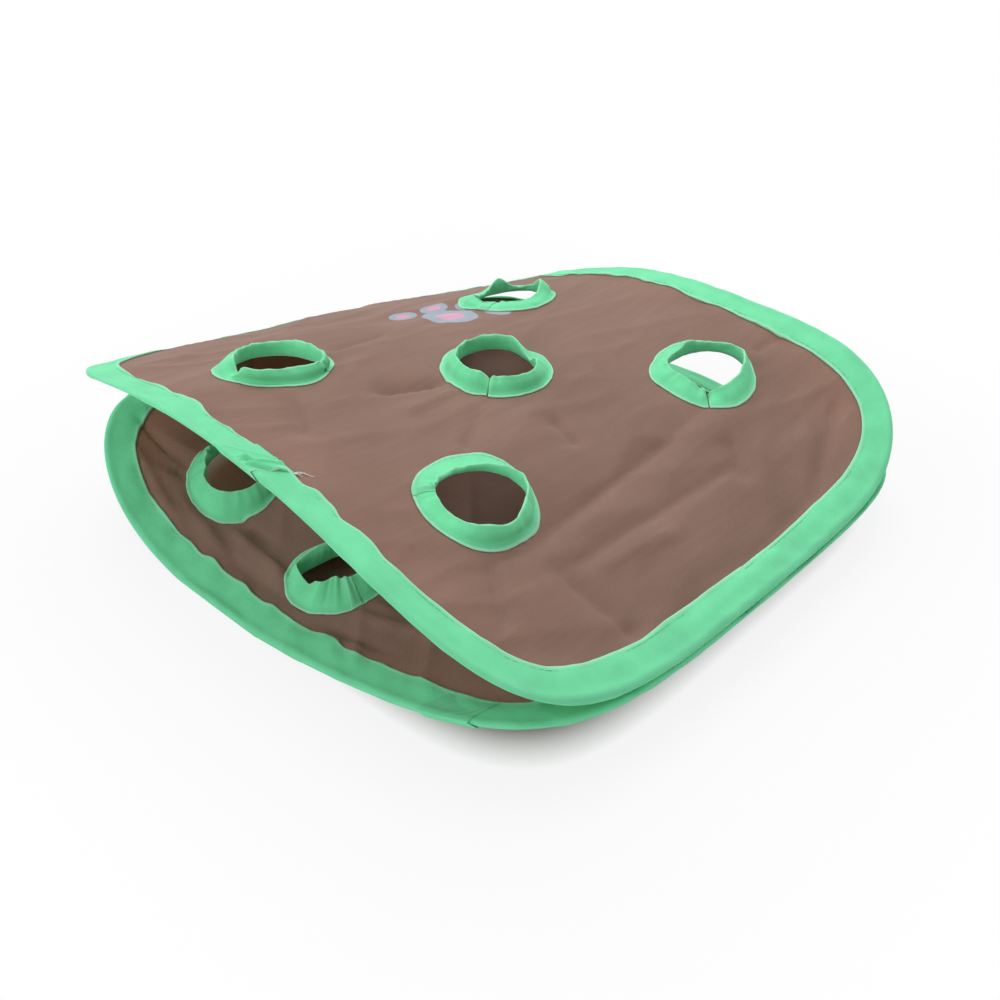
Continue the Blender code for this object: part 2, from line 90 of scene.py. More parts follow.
# Opening between the panels, as the source has it
CENTRE_OPENING = 0.0471
OPENING_ACROSS_TILT = -0.0052
OPENING_ALONG_TILT = -0.0171
MOUTH_OPENING = 0.0330
OPENING_TWIST = 0.0384
RIGHT_CORNER_OPENING = 0.0168
RIGHT_CORNER_START_SHARE = 0.60
LEFT_CORNER_OPENING = 0.0133
LEFT_CORNER_START_SHARE = -0.26
# How far inside a collar's sewn edge the cloth of a hole ends
CLOTH_TUCK = 0.0022
OVERLAP_LENGTH = 0.024
UPPER_OVERLAP_X = 0.003
LOWER_OVERLAP_X = 0.1180
# Sections round the rim tapes and hoops, and points of the rims' stitch path
RIM_SECTIONS = 640
HOOP_SECTIONS = 360
STITCH_PATH_POINTS = 900
UPPER_TAPE_SEED = 21
LOWER_TAPE_SEED = 27
# Zigzag of the side seams: distance from stitch to stitch and inset from the rim
SEAM_STEP = 0.0021
SEAM_INSET = 0.0012

# Least height of the tape's outer faces over the middle of the cloth inside it
TAPE_CLEARANCE = 0.0007

# Soft shapes of the slack cloth, beyond the source's even bow
RIDGE_RISE = 0.0015
LEFT_TURN_DOWN = 0.0065
CENTRE_SWELL = 0.0040
BACK_RIM_DIP = 0.0045
BACK_LEFT_RISE = 0.0120
BACK_RIM_RISE = 0.0070

# Paw holes: middle of each in plan
UPPER_HOLES = {
    "left_front": (-0.0674, -0.0844),
    "left_back": (-0.0674, 0.0844),
    "centre": (0.0, 0.0),
    "right_back": (0.0674, 0.0844),
    "right_front": (0.0674, -0.0844),
}
LOWER_HOLES = {
    "outer_front": (-0.0880, -0.1020),
    "inner_front": (0.0040, -0.1140),
    "inner_back": (-0.0040, 0.1140),
    "outer_back": (0.0880, 0.1020),
}

# Collars, in mm: how far from the hole's middle the tape's edge is sewn, how far out
# its fold stands and how high the fold is. Each is a usual size and the bulges on it,
# as (share of the turn from +X, spread as a share of the turn, amount)
COLLARS = {
    "left_front": {
        "sewn": (27, [(0.20, 0.06, 2), (0.70, 0.10, 4)]),
        "reach": (18, [(0.10, 0.10, 6), (0.82, 0.12, 6)]),
        "height": (8, [(0.25, 0.10, 2), (0.75, 0.03, -6)])},
    "left_back": {
        "sewn": (26, [(0.30, 0.08, 3), (0.68, 0.11, 5)]),
        "reach": (17, [(0.35, 0.10, 3), (0.70, 0.07, 6)]),
        "height": (3, [(0.14, 0.09, 7), (0.43, 0.05, 7), (0.68, 0.05, 3)])},
    "centre": {
        "sewn": (28, [(0.28, 0.14, 3), (0.00, 0.09, -3)]),
        "reach": (20, [(0.36, 0.10, 6)]),
        "height": (9, [(0.22, 0.05, -6)])},
    "right_back": {
        "sewn": (26, [(0.28, 0.15, 5), (0.66, 0.06, 3)]),
        "reach": (16, [(0.24, 0.14, 9), (0.62, 0.08, 3)]),
        "height": (6, [(0.15, 0.10, 4), (0.43, 0.05, 3), (0.87, 0.05, -3)])},
    "right_front": {
        "sewn": (28, [(0.34, 0.12, 4), (0.00, 0.08, -3)]),
        "reach": (18, [(0.24, 0.14, 7), (0.95, 0.12, 4)]),
        "height": (4, [(0.15, 0.14, 7), (0.93, 0.10, 5)])},
    "outer_front": {
        "sewn": (26, [(0.10, 0.08, -2), (0.85, 0.08, 2)]),
        "reach": (17, [(0.30, 0.15, 6), (0.62, 0.05, -2)]),
        "height": (9, [(0.20, 0.10, -11), (0.36, 0.09, -10)])},
    "inner_front": {
        "sewn": (26, [(0.53, 0.08, 2), (0.80, 0.09, -2)]),
        "reach": (14, [(0.11, 0.07, 4), (0.60, 0.07, 6), (0.87, 0.06, -4)]),
        "height": (10, [(0.50, 0.06, 2), (0.69, 0.04, -5)])},
    "inner_back": {
        "sewn": (28, []),
        "reach": (20, [(0.00, 0.06, 1), (0.50, 0.06, 1)]),
        "height": (5, [(0.00, 0.10, 4), (0.45, 0.07, 4)])},
    "outer_back": {
        "sewn": (28, []),
        "reach": (20, [(0.00, 0.06, 1), (0.55, 0.06, 1)]),
        "height": (5, [(0.00, 0.10, 4), (0.50, 0.07, 4)])},
}
# Where each collar's tape ends meet, as a share of the turn
COLLAR_JOINS = {
    "left_front": 0.10, "left_back": 0.76, "centre": 0.845, "right_back": 0.87,
    "right_front": 0.62, "outer_front": 0.52, "inner_front": 0.93,
    "inner_back": 0.20, "outer_back": 0.45,
}
# Collars whose tape ends leave an open slit
SLIT_COLLARS = ("centre", "right_back")
SLIT_HALF_SHARE = 0.0022
# Sections round a collar, and a radius that its texture is laid out by
COLLAR_STATIONS = 200
COLLAR_TEXTURE_RADIUS = 0.028
# How near a woven edge each point of a collar's section is; points 8 to 10, on the fold's crest, get a
# painted highlight in the same pale colour
COLLAR_EDGE_AND_HIGHLIGHT_SHARES = (1.0, 1.0, 0.6, 0, 0, 0, 0, 0, 0.5, 0.6, 0.2, 0, 0, 0, 1.0, 0.8, 0, 0, 0, 0, 0)

# Folds of the upper cloth that run out from a hole: share of the turn from +X, start
# and end as distances from the hole's middle, half width and depth, in mm
HOLE_FOLDS = {
    "left_front": [(0.92, 34, 70, 5, -0.9), (0.26, 34, 75, 6, -0.9)],
    "centre": [(0.70, 30, 65, 6, -1.6), (0.76, 30, 65, 4, 0.8), (0.84, 40, 75, 5, -0.8),
               (0.97, 45, 65, 6, -0.9)],
    "right_front": [(0.90, 34, 65, 5, -0.8), (0.02, 45, 85, 10, -1.4)],
    "right_back": [(0.90, 45, 70, 7, -0.9), (0.23, 40, 60, 5, -0.7)],
}
# Fine creases: height as a share of the ripple, lean from the tunnel's direction, size
# across and along, and seed
UPPER_CREASES = (
    (1.0, 0.30, 0.017, 0.048, 4), (0.9, -0.45, 0.022, 0.060, 6), (0.55, -0.10, 0.010, 0.055, 31))
LOWER_CREASES = ((1.6, -0.75, 0.016, 0.050, 14), (1.4, 1.20, 0.018, 0.055, 19))
# Long folds of the upper cloth beside the right seam: start, end, half width and depth, in mm
LONG_FOLDS = [
    ((95, -100), (85, 50), 7, -1.3),
    ((110, -80), (115, 45), 6, -1.1),
    ((120, -60), (125, -15), 4, 0.7),
    ((160, -55), (150, 60), 5, -0.7),
    ((145, 75), (125, 125), 6, -0.7),
]
# Folds along the front rim of the lower cloth, seen through the mouth
MOUTH_FOLD_COUNT = 14
MOUTH_FOLD_LENGTH = 45
MOUTH_FOLD_HALF_WIDTH = 3.5
MOUTH_FOLD_DEPTH = 0.75
MOUTH_FOLD_START_X = -130
MOUTH_FOLD_SPACING = 17
MOUTH_FOLD_Y = (-138, -108)
MOUTH_FOLD_SLANT = 6
MOUTH_FOLD_SEED = 23
# Other folds of the lower cloth
LOWER_FOLDS = [
    ((-150, -60), (-118, -95), 6.0, -0.8),
    ((-155, -20), (-120, 40), 8.0, -0.9),
    ((30, -80), (90, -40), 8.0, -0.9),
    ((-40, 60), (50, 90), 8.0, -0.9),
    ((-60, -60), (10, -20), 8.0, 0.8),
    ((120, 60), (150, 110), 6.0, -0.8),
    ((-140, 120), (-90, 105), 5.0, 0.8),
    ((-130, 105), (-80, 122), 4.0, -0.7),
]

# Cloth print: one paw, middle and half sizes in mm, on the upper panel
PAW_PAD = ((-70, 38), (17, 14))
PAW_TOES = (
    ((-93, 24), (6.5, 9)), ((-90, 45), (6.5, 9)), ((-77, 60), (9, 6.5)), ((-57, 62), (9, 6.5)),
)
PAW_INNER_SHARE = 0.52
# The lower panel has no print: its places on the pattern lie a metre aside
PLAIN_CLOTH_SHIFT = 1.0

# Camera of the photograph, found by fitting the panels' rims and holes to it
VIEW_DIRECTION = Vector((-0.547, 0.587, -0.597))
CAMERA_DISTANCE = 0.7049
CAMERA_AIM_HEIGHT = 0.000536
CAMERA_LENS = 47.52
CAMERA_SHIFT = (0.0041, -0.0094)
SENSOR_WIDTH = 36.0

# Lamps: side and place in metres; and how far the floor lies below the toy
TOP_LAMP = (1.6, (-0.50, 0.62, 1.4))
FRONT_LAMP = (0.9, (-0.30, -1.25, 0.70))
FLOOR_DROP = 0.00005


def linear(hex_colour):
    """Linear RGBA of an sRGB hex colour."""
    parts = [int(hex_colour[start:start + 2], 16) / 255 for start in (0, 2, 4)]
    return tuple(p / 12.92 if p <= 0.04045 else ((p + 0.055) / 1.055) ** 2.4 for p in parts) + (1.0,)


# Sizes and colours that a user would change


def small_length(name, description, default, least):
    """A property for a length of less than a few millimetres."""
    return FloatProperty(
        name=name, description=description, default=default, min=least, unit="LENGTH", precision=5)


def colour(name, description, hex_colour):
    """A property for a colour."""
    return FloatVectorProperty(
        name=name, description=description, size=4, subtype="COLOR", default=linear(hex_colour))


class ClothSettings(bpy.types.PropertyGroup):
    """Sizes and colour of the two panels' cloth."""

    thickness: small_length("Thickness", "Thickness of the polyester as it is drawn", 0.0003, 0.0001)
    cell: small_length("Cell", "Side of one square of the cloth's mesh", 0.0021, 0.001)
    fold_share: FloatProperty(
        name="Fold Depth", description="Depth of the pressed folds, as a share of the listed one",
        default=3.4, min=0.0, max=4.0, subtype="FACTOR")
    ripple: small_length("Ripple", "Height of the fine creases that run along the tunnel", 0.0011, 0.0)
    brown: colour("Brown", "Colour of the polyester", "8F7063")
    print_grey: colour("Print Grey", "Colour of the printed paw", "A3AEBC")
    print_pink: colour("Print Pink", "Colour of the printed pads", "E0A3BC")


class TapeSettings(bpy.types.PropertyGroup):
    """Sizes and colour of the folded tape round the rims and the holes."""

    width: FloatProperty(
        name="Width", description="Width of the folded tape round a panel",
        default=0.016, min=0.008, unit="LENGTH")
    wall: small_length("Wall", "Thickness of one layer of tape", 0.0005, 0.0002)
    scallop: small_length(
        "Scallop", "How far the sewn edge waves in and out where it is puckered", 0.0021, 0.0)
    scallop_pitch: FloatProperty(
        name="Scallop Pitch", description="Distance from one pucker of the edge to the next",
        default=0.0150, min=0.004, unit="LENGTH")
    green: colour("Green", "Colour of the tape", "7EEFB1")
    # The pale edge colour serves the tape's woven edges and a painted highlight on fold crests and lifted
    # edges
    edge_and_highlight_green: colour("Edge Green", "Colour of the tape's woven edges", "B2F6CF")


class ThreadSettings(bpy.types.PropertyGroup):
    """Sizes and colour of the sewing thread."""

    diameter: small_length("Diameter", "Thickness of the thread", 0.00028, 0.0001)
    stitch: small_length("Stitch", "Length of one stitch", 0.0028, 0.001)
    gap: small_length("Gap", "Distance between two stitches", 0.0009, 0.0002)
    green: colour("Thread Green", "Colour of the thread", "7FE3AC")


class StageSettings(bpy.types.PropertyGroup):
    """Light and floor of the picture."""

    top_light: FloatProperty(
        name="Top Light", description="Power of the wide lamp overhead", default=17.0, min=0.0,
        unit="POWER")
    front_light: FloatProperty(
        name="Front Light", description="Power of the lamp before the front mouth", default=5.5, min=0.0,
        unit="POWER")
    surrounding: FloatProperty(
        name="Surrounding Light", description="Strength of the even light from all round",
        default=0.45, min=0.0)
    floor_side: FloatProperty(
        name="Floor Side", description="Side of the square floor", default=6.0, min=1.0,
        unit="LENGTH")


class ToySettings(bpy.types.PropertyGroup):
    """All settings of the play toy."""

    cloth: PointerProperty(type=ClothSettings)
    tape: PointerProperty(type=TapeSettings)
    thread: PointerProperty(type=ThreadSettings)
    stage: PointerProperty(type=StageSettings)


# The shape of the panels, for arrays of points


def lower_height(x, y):
    """Height of the lower panel's middle surface."""
    a, l = x / HALF_WIDTH, y / HALF_LENGTH
    height = LOWER_CENTRE_HEIGHT + LOWER_ACROSS_TILT * a + LOWER_ALONG_TILT * l
    height = height + LOWER_SIDE_RISE * a ** 2 + LOWER_MOUTH_RISE * l ** 2 + LOWER_TWIST * a * l
    height = height + LOWER_CORNER_RISE * (a * l) ** 2 + LOWER_SIDE_SWEEP * a ** 2 * l
    return height + LOWER_MOUTH_SWEEP * a * l ** 2 + LOWER_CORNER_TWIST * a ** 3 * l


def panel_spacing(x, y):
    """Distance from the lower panel up to the upper panel."""
    a, l = x / HALF_WIDTH, y / HALF_LENGTH
    bow = CENTRE_OPENING + OPENING_ACROSS_TILT * a + OPENING_ALONG_TILT * l
    bow = bow + MOUTH_OPENING * l ** 2 + OPENING_TWIST * a * l
    right_lead = (l - RIGHT_CORNER_START_SHARE) / (1 - RIGHT_CORNER_START_SHARE)
    left_lead = (-l - LEFT_CORNER_START_SHARE) / (1 - LEFT_CORNER_START_SHARE)
    right_flare = RIGHT_CORNER_OPENING * np.maximum(0.0, right_lead) ** 2
    left_flare = LEFT_CORNER_OPENING * np.maximum(0.0, left_lead) ** 2
    flare = np.where(a > 0, right_flare, left_flare)
    return SEAM_SPACING + (1 - a ** 2) * bow + a ** 2 * flare


def outline(turns):
    """Points of the rounded square rim, and the unit directions into the panel."""
    cosine, sine = np.cos(turns), np.sin(turns)
    spread = np.abs(cosine / HALF_WIDTH) ** OUTLINE_POWER + np.abs(sine / HALF_LENGTH) ** OUTLINE_POWER
    reach = spread ** (-1 / OUTLINE_POWER)
    points = np.stack([reach * cosine, reach * sine], axis=-1)
    lean = np.stack([
        np.sign(cosine) * np.abs(points[..., 0] / HALF_WIDTH) ** (OUTLINE_POWER - 1) / HALF_WIDTH,
        np.sign(sine) * np.abs(points[..., 1] / HALF_LENGTH) ** (OUTLINE_POWER - 1) / HALF_LENGTH,
    ], axis=-1)
    inward = -lean / np.linalg.norm(lean, axis=-1, keepdims=True)
    return points, inward


def even_turns(start, end, count):
    """Turns from start to end whose rim points are evenly spaced."""
    fine = np.linspace(start, end, 4001)
    points, _ = outline(fine)
    lengths = np.concatenate([[0.0], np.cumsum(np.linalg.norm(np.diff(points, axis=0), axis=1))])
    return np.interp(np.linspace(0.0, lengths[-1], count + 1), lengths, fine), lengths[-1]


def turn_at(x):
    """Turn at which the front rim crosses x."""
    y = -HALF_LENGTH * (1 - abs(x / HALF_WIDTH) ** OUTLINE_POWER) ** (1 / OUTLINE_POWER)
    return math.atan2(y, x)


RIM_POINTS, RIM_INWARD = outline(np.linspace(0.0, TURN, 720))
RIM_LOWEST = lower_height(*(RIM_POINTS + RIM_INWARD * HOOP_INSET).T).min()
LIFT = RESTING_HEIGHT - SETTLING_DEPTH - RIM_LOWEST


def smooth_step(value):
    """0 below 0, 1 above 1 and a smooth rise between."""
    share = np.clip(value, 0.0, 1.0)
    return share * share * (3 - 2 * share)


def soft_noise(x, y, step_x, step_y, seed):
    """Smooth random heights from -1 to 1 whose bumps are step_x by step_y in size."""
    lattice = np.random.default_rng(seed).uniform(-1.0, 1.0, (64, 64))
    column, row = x / step_x + 31.3, y / step_y + 31.7
    left, low = np.floor(column).astype(int), np.floor(row).astype(int)
    across, along = smooth_step(column - left), smooth_step(row - low)
    corner = [lattice[(left + i) % 64, (low + j) % 64] for i in (0, 1) for j in (0, 1)]
    near = corner[0] * (1 - along) + corner[1] * along
    far = corner[2] * (1 - along) + corner[3] * along
    return near * (1 - across) + far * across


def fold_heights(x, y, folds):
    """Height that the pressed folds add at each point."""
    height = np.zeros_like(x)
    for start, end, half_width, depth in folds:
        start, end = np.array(start) * MM, np.array(end) * MM
        length = np.linalg.norm(end - start)
        ahead = (end - start) / length
        along = ((x - start[0]) * ahead[0] + (y - start[1]) * ahead[1]) / length
        beside = (y - start[1]) * ahead[0] - (x - start[0]) * ahead[1]
        taper = np.exp(-np.maximum(0.0, np.abs(along - 0.5) - 0.32) ** 2 / 0.045)
        leftward = beside * (1 if ahead[1] > 0 else -1)
        reach = half_width * MM * np.where(leftward > 0, 1.25, 0.65)
        profile = np.exp(-np.sqrt((beside / reach) ** 2 + 0.04) * 1.35 + 0.27)
        height += depth * MM * profile * taper
    return height


def upper_folds():
    """Folds of the upper cloth: those that run out from the holes and the long ones."""
    folds = list(LONG_FOLDS)
    for key, rays in HOLE_FOLDS.items():
        middle = np.array(UPPER_HOLES[key]) / MM
        for share, near, far, half_width, depth in rays:
            ahead = np.array([math.cos(share * TURN), math.sin(share * TURN)])
            folds.append((middle + near * ahead, middle + far * ahead, half_width, depth))
    return folds


def lower_folds():
    """Folds of the lower cloth: a row of them along the front rim, and the others."""
    folds = list(LOWER_FOLDS)
    random = np.random.default_rng(MOUTH_FOLD_SEED)
    for number in range(MOUTH_FOLD_COUNT):
        x = MOUTH_FOLD_START_X + MOUTH_FOLD_SPACING * number
        y = random.uniform(*MOUTH_FOLD_Y)
        slant = random.uniform(-MOUTH_FOLD_SLANT, MOUTH_FOLD_SLANT)
        side = 1 if number % 2 else -1
        folds.append(((x - MOUTH_FOLD_LENGTH / 2, y - slant), (x + MOUTH_FOLD_LENGTH / 2, y + slant),
                      MOUTH_FOLD_HALF_WIDTH, side * MOUTH_FOLD_DEPTH))
    return folds


def free_share(x, y, places, start):
    """How freely the cloth may crease: 0 from the rim in to start and at the collars, 1 well away."""
    inset = (1 - (np.abs(x / HALF_WIDTH) ** 5 + np.abs(y / HALF_LENGTH) ** 5) ** 0.2) * HALF_LENGTH
    share = smooth_step((inset - start) / 0.012)
    for place in places.values():
        away = np.hypot(x - place[0], y - place[1])
        share = share * smooth_step((away - 0.0225) / 0.008)
    return share


def crease_noise(x, y, lean, across, along, seed):
    """Sharp-topped creases from -0.5 to 0.5, leaning from the tunnel's direction by an angle."""
    side = x * math.cos(lean) - y * math.sin(lean)
    ahead = x * math.sin(lean) + y * math.cos(lean)
    return (1 - np.abs(soft_noise(side, ahead, across, along, seed))) ** 2 - 0.5


def hump(x, y, middle, spread):
    """A round hump: 1 at its middle, falling away over its spread."""
    return np.exp(-((x - middle[0]) ** 2 + (y - middle[1]) ** 2) / spread ** 2)


def left_turn_down(x, y):
    """How far both panels turn down beside the left seam, behind a low ridge."""
    beside = 1 - np.clip(-x / HALF_WIDTH, 0.0, 1.0)
    along = smooth_step((y + 0.145) / 0.06) * smooth_step((0.150 - y) / 0.05)
    ridge = RIDGE_RISE * np.exp(-((beside - 0.17) / 0.09) ** 2)
    return along * (ridge - LEFT_TURN_DOWN * (1 - smooth_step(beside / 0.125)))


def upper_cloth_height(x, y):
    """Height of the upper cloth with its folds."""
    cloth = bpy.context.scene.cat_toy.cloth
    creases = fold_heights(x, y, upper_folds()) * cloth.fold_share
    for share, lean, across, along, seed in UPPER_CREASES:
        creases = creases + share * cloth.ripple * crease_noise(x, y, lean, across, along, seed)
    creases = creases + 1.3 * cloth.ripple * soft_noise(x, y, 0.030, 0.070, 9)
    rest = lower_height(x, y) + panel_spacing(x, y) + LIFT + left_turn_down(x, y)
    rest = rest + CENTRE_SWELL * hump(x, y, (0.038, -0.035), 0.030)
    rest = rest - BACK_RIM_DIP * hump(x, y, (0.050, 0.160), 0.055)
    return rest + creases * free_share(x, y, UPPER_HOLES, 0.008)


def lower_cloth_height(x, y):
    """Height of the lower cloth with its folds, level where it is pressed on the floor."""
    cloth = bpy.context.scene.cat_toy.cloth
    creases = fold_heights(x, y, lower_folds()) * cloth.fold_share
    for share, lean, across, along, seed in LOWER_CREASES:
        creases = creases + share * cloth.ripple * crease_noise(x, y, lean, across, along, seed)
    rest = np.maximum(RESTING_HEIGHT, lower_height(x, y) + LIFT) + left_turn_down(x, y)
    rest = rest + BACK_LEFT_RISE * hump(x, y, (-0.105, 0.135), 0.045)
    rest = rest + BACK_RIM_RISE * hump(x, y, (0.020, 0.150), 0.045)
    return rest + creases * free_share(x, y, LOWER_HOLES, 0.004)


PANELS = (("upper", upper_cloth_height, UPPER_HOLES), ("lower", lower_cloth_height, LOWER_HOLES))


# Building tools


def shader(material):
    """The Principled node of a material."""
    return material.node_tree.nodes["Principled BSDF"]


def add_node(material, kind, settings=None, sockets=None):
    """Add a shader node; a node among its socket values stands for its first output in use."""
    node = material.node_tree.nodes.new("ShaderNode" + kind)
    for name, value in (settings or {}).items():
        setattr(node, name, value)
    for key, value in (sockets or {}).items():
        if isinstance(value, bpy.types.Node):
            value = next(output for output in value.outputs if output.enabled)
        if isinstance(value, bpy.types.NodeSocket):
            material.node_tree.links.new(value, node.inputs[key])
        else:
            node.inputs[key].default_value = value
    return node


def new_material(name, sockets):
    """A Principled material with constant values on its own sockets."""
    material = bpy.data.materials.new(name)
    material.use_nodes = True
    for key, value in sockets.items():
        shader(material).inputs[key].default_value = value
    return material


def link(material, output, socket):
    """Join an output to one of the Principled node's sockets."""
    material.node_tree.links.new(output, shader(material).inputs[socket])


def new_piece(name, vertices, faces, material, uvs=None):
    """Link a smooth mesh as a named object; uvs has one place for each face corner."""
    mesh = bpy.data.meshes.new(name)
    mesh.from_pydata(np.asarray(vertices).tolist(), [], [list(face) for face in faces])
    if uvs is not None:
        layer = mesh.uv_layers.new(name="cloth_metres")
        layer.data.foreach_set("uv", np.asarray(uvs, dtype=np.float32).ravel())
    mesh.materials.append(material)
    mesh.shade_smooth()
    piece = bpy.data.objects.new(name, mesh)
    bpy.context.scene.collection.objects.link(piece)
    return piece


def skin_faces(rows, columns, wrap_rows, wrap_columns):
    """Quads over a grid of points, and each corner's row and column number."""
    row_ids = np.arange(rows if wrap_rows else rows - 1)
    column_ids = np.arange(columns if wrap_columns else columns - 1)
    row, column = [grid.ravel() for grid in np.meshgrid(row_ids, column_ids, indexing="ij")]
    corner_rows = np.stack([row, row, row + 1, row + 1], axis=1)
    corner_columns = np.stack([column, column + 1, column + 1, column], axis=1)
    faces = (corner_rows % rows) * columns + corner_columns % columns
    return faces, corner_rows, corner_columns


def skin(points, closed, u_places, v_places):
    """Vertices, faces and uvs of a tube-like skin whose sections are closed loops."""
    rows, columns = points.shape[:2]
    faces, corner_rows, corner_columns = skin_faces(rows, columns, closed, True)
    uvs = np.stack([u_places[corner_rows], v_places[corner_columns]], axis=-1).reshape(-1, 2)
    faces = faces.tolist()
    if not closed:
        first, last = list(range(columns)), list(range((rows - 1) * columns, rows * columns))
        faces += [first[::-1], last]
        end_uvs = [(u_places[0], v) for v in v_places[:columns][::-1]]
        end_uvs += [(u_places[-1], v) for v in v_places[:columns]]
        uvs = np.concatenate([uvs, np.array(end_uvs)])
    return points.reshape(-1, 3), faces, uvs


def section_places(outline_points):
    """Distance round a closed section at each of its points and back at the first."""
    closed = np.concatenate([outline_points, outline_points[:1]])
    return np.concatenate([[0.0], np.cumsum(np.linalg.norm(np.diff(closed, axis=0), axis=1))])


def tube(path, radii, sides, closed=False):
    """Vertices and faces of a round tube along a path, with a radius at each point."""
    path = np.asarray(path, dtype=float)
    ahead = np.roll(path, -1, axis=0) - np.roll(path, 1, axis=0)
    if not closed:
        ahead[0], ahead[-1] = path[1] - path[0], path[-1] - path[-2]
    ahead /= np.linalg.norm(ahead, axis=1, keepdims=True)
    side = np.cross(ahead, (0.0, 0.0, 1.0))
    side /= np.linalg.norm(side, axis=1, keepdims=True) + 1e-9
    up = np.cross(side, ahead)
    angles = np.arange(sides) * TURN / sides
    radii = np.broadcast_to(np.asarray(radii, dtype=float), (len(path),))
    ring = side[:, None] * np.cos(angles)[None, :, None] + up[:, None] * np.sin(angles)[None, :, None]
    points = path[:, None] + ring * radii[:, None, None]
    faces, _, _ = skin_faces(len(path), sides, closed, True)
    faces = faces.tolist()
    if not closed:
        faces += [list(range(sides))[::-1], list(range((len(path) - 1) * sides, len(path) * sides))]
    return points.reshape(-1, 3), faces


def merged(parts):
    """One list of vertices and faces from several (vertices, faces) pairs."""
    vertices, faces, count = [], [], 0
    for part_vertices, part_faces in parts:
        vertices.extend(np.asarray(part_vertices).tolist())
        faces.extend([[corner + count for corner in face] for face in part_faces])
        count += len(part_vertices)
    return vertices, faces


def stitch_row(path, up, thread):
    """Stitches along a path of points: short arched lengths of thread with gaps between."""
    lengths = np.concatenate([[0.0], np.cumsum(np.linalg.norm(np.diff(path, axis=0), axis=1))])
    pitch = thread.stitch + thread.gap
    parts = []
    for number in range(int(lengths[-1] / pitch)):
        start = number * pitch
        places = start + thread.stitch * np.array([0.0, 0.12, 0.5, 0.88, 1.0])
        centre = np.stack([np.interp(places, lengths, path[:, axis]) for axis in range(3)], axis=1)
        normal = np.stack([np.interp(places, lengths, up[:, axis]) for axis in range(3)], axis=1)
        lift = thread.diameter * np.array([-0.8, -0.1, 0.1, -0.1, -0.8])
        parts.append(tube(centre + normal * lift[:, None], thread.diameter / 2, 5))
    return merged(parts)


def carry(piece):
    """Let a piece ride on the lower panel, with a mesh of its own."""
    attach(piece, "lower_panel")
    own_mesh(piece)


def settle(piece, replaced):
    """Carry a piece and let it stand for its nodes."""
    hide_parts(*replaced)
    carry(piece)


# Materials


def woven_polyester(settings):
    """Plain-woven polyester taffeta, dyed brown: thin and soft with a low satin sheen
    that lightens where it is seen at a slant, thin enough that some light comes through
    and reddens the inside, and a printed paw on the upper panel."""
    material = new_material("woven_brown_polyester", {
        "Roughness": 0.72, "Specular IOR Level": 0.25, "Sheen Weight": 0.14,
        "Sheen Roughness": 0.45, "Sheen Tint": linear("E9DCD6"), "IOR": 1.5,
        "Subsurface Weight": 0.25, "Subsurface Radius": (1.0, 0.55, 0.4), "Subsurface Scale": 0.003,
    })
    place = add_node(material, "UVMap", {"uv_map": "cloth_metres"}).outputs["UV"]
    patchy = add_node(material, "TexNoise", None, {
        "Vector": place, "Scale": 14.0, "Detail": 3.0, "Roughness": 0.55})
    stretched = add_node(material, "Mapping", None, {"Vector": place, "Scale": (420.0, 26.0, 1.0)})
    slub = add_node(material, "TexNoise", None, {
        "Vector": stretched, "Scale": 1.0, "Detail": 2.0})
    shade = add_node(material, "MapRange", None, {
        "Value": patchy.outputs["Fac"], "From Min": 0.3, "From Max": 0.7, "To Min": 0.90, "To Max": 1.08})
    thread_shade = add_node(material, "MapRange", None, {
        "Value": slub.outputs["Fac"], "From Min": 0.3, "From Max": 0.7, "To Min": 0.965, "To Max": 1.03})
    both = add_node(material, "Math", {"operation": "MULTIPLY"}, {
        0: shade, 1: thread_shade})
    colour = tuple(settings.brown)
    grey_mask, pink_mask = None, None
    for (middle, half) in (PAW_PAD,) + PAW_TOES:
        for share, is_pink in ((1.0, False), (PAW_INNER_SHARE, True)):
            moved = add_node(material, "VectorMath", {"operation": "SUBTRACT"}, {
                0: place, 1: (middle[0] * MM, middle[1] * MM, 0.0)})
            scaled = add_node(material, "VectorMath", {"operation": "DIVIDE"}, {
                0: moved, 1: (half[0] * share * MM, half[1] * share * MM, 1.0)})
            reach = add_node(material, "VectorMath", {"operation": "LENGTH"}, {
                0: scaled})
            inside = add_node(material, "MapRange", None, {
                "Value": reach, "From Min": 1.03, "From Max": 0.97,
                "To Min": 0.0, "To Max": 1.0}).outputs["Result"]
            earlier = pink_mask if is_pink else grey_mask
            if earlier:
                inside = add_node(material, "Math", {"operation": "MAXIMUM"}, {
                    0: earlier, 1: inside}).outputs["Value"]
            if is_pink:
                pink_mask = inside
            else:
                grey_mask = inside
    with_grey = add_node(material, "Mix", {"data_type": "RGBA"}, {
        0: grey_mask, 6: colour, 7: tuple(settings.print_grey)})
    with_pink = add_node(material, "Mix", {"data_type": "RGBA"}, {
        0: pink_mask, 6: with_grey.outputs[2], 7: tuple(settings.print_pink)})
    shaded = add_node(material, "Mix", {"data_type": "RGBA", "blend_type": "MULTIPLY"}, {
        0: 1.0, 6: with_pink.outputs[2], 7: both})
    link(material, shaded.outputs[2], "Base Color")
    # Threads are 0.25 mm apart, too fine to show here, so the weave is drawn 1.1 mm apart
    weave = weave_height(material, place, 0.0011)
    crease = add_node(material, "TexNoise", None, {
        "Vector": place, "Scale": 120.0, "Detail": 4.0, "Roughness": 0.6})
    height = add_node(material, "Math", {"operation": "MULTIPLY_ADD"}, {
        0: crease.outputs["Fac"], 1: 3.0, 2: weave})
    bump = add_node(material, "Bump", None, {
        "Height": height, "Distance": 0.00006, "Strength": 0.7})
    link(material, bump.outputs["Normal"], "Normal")
    return material


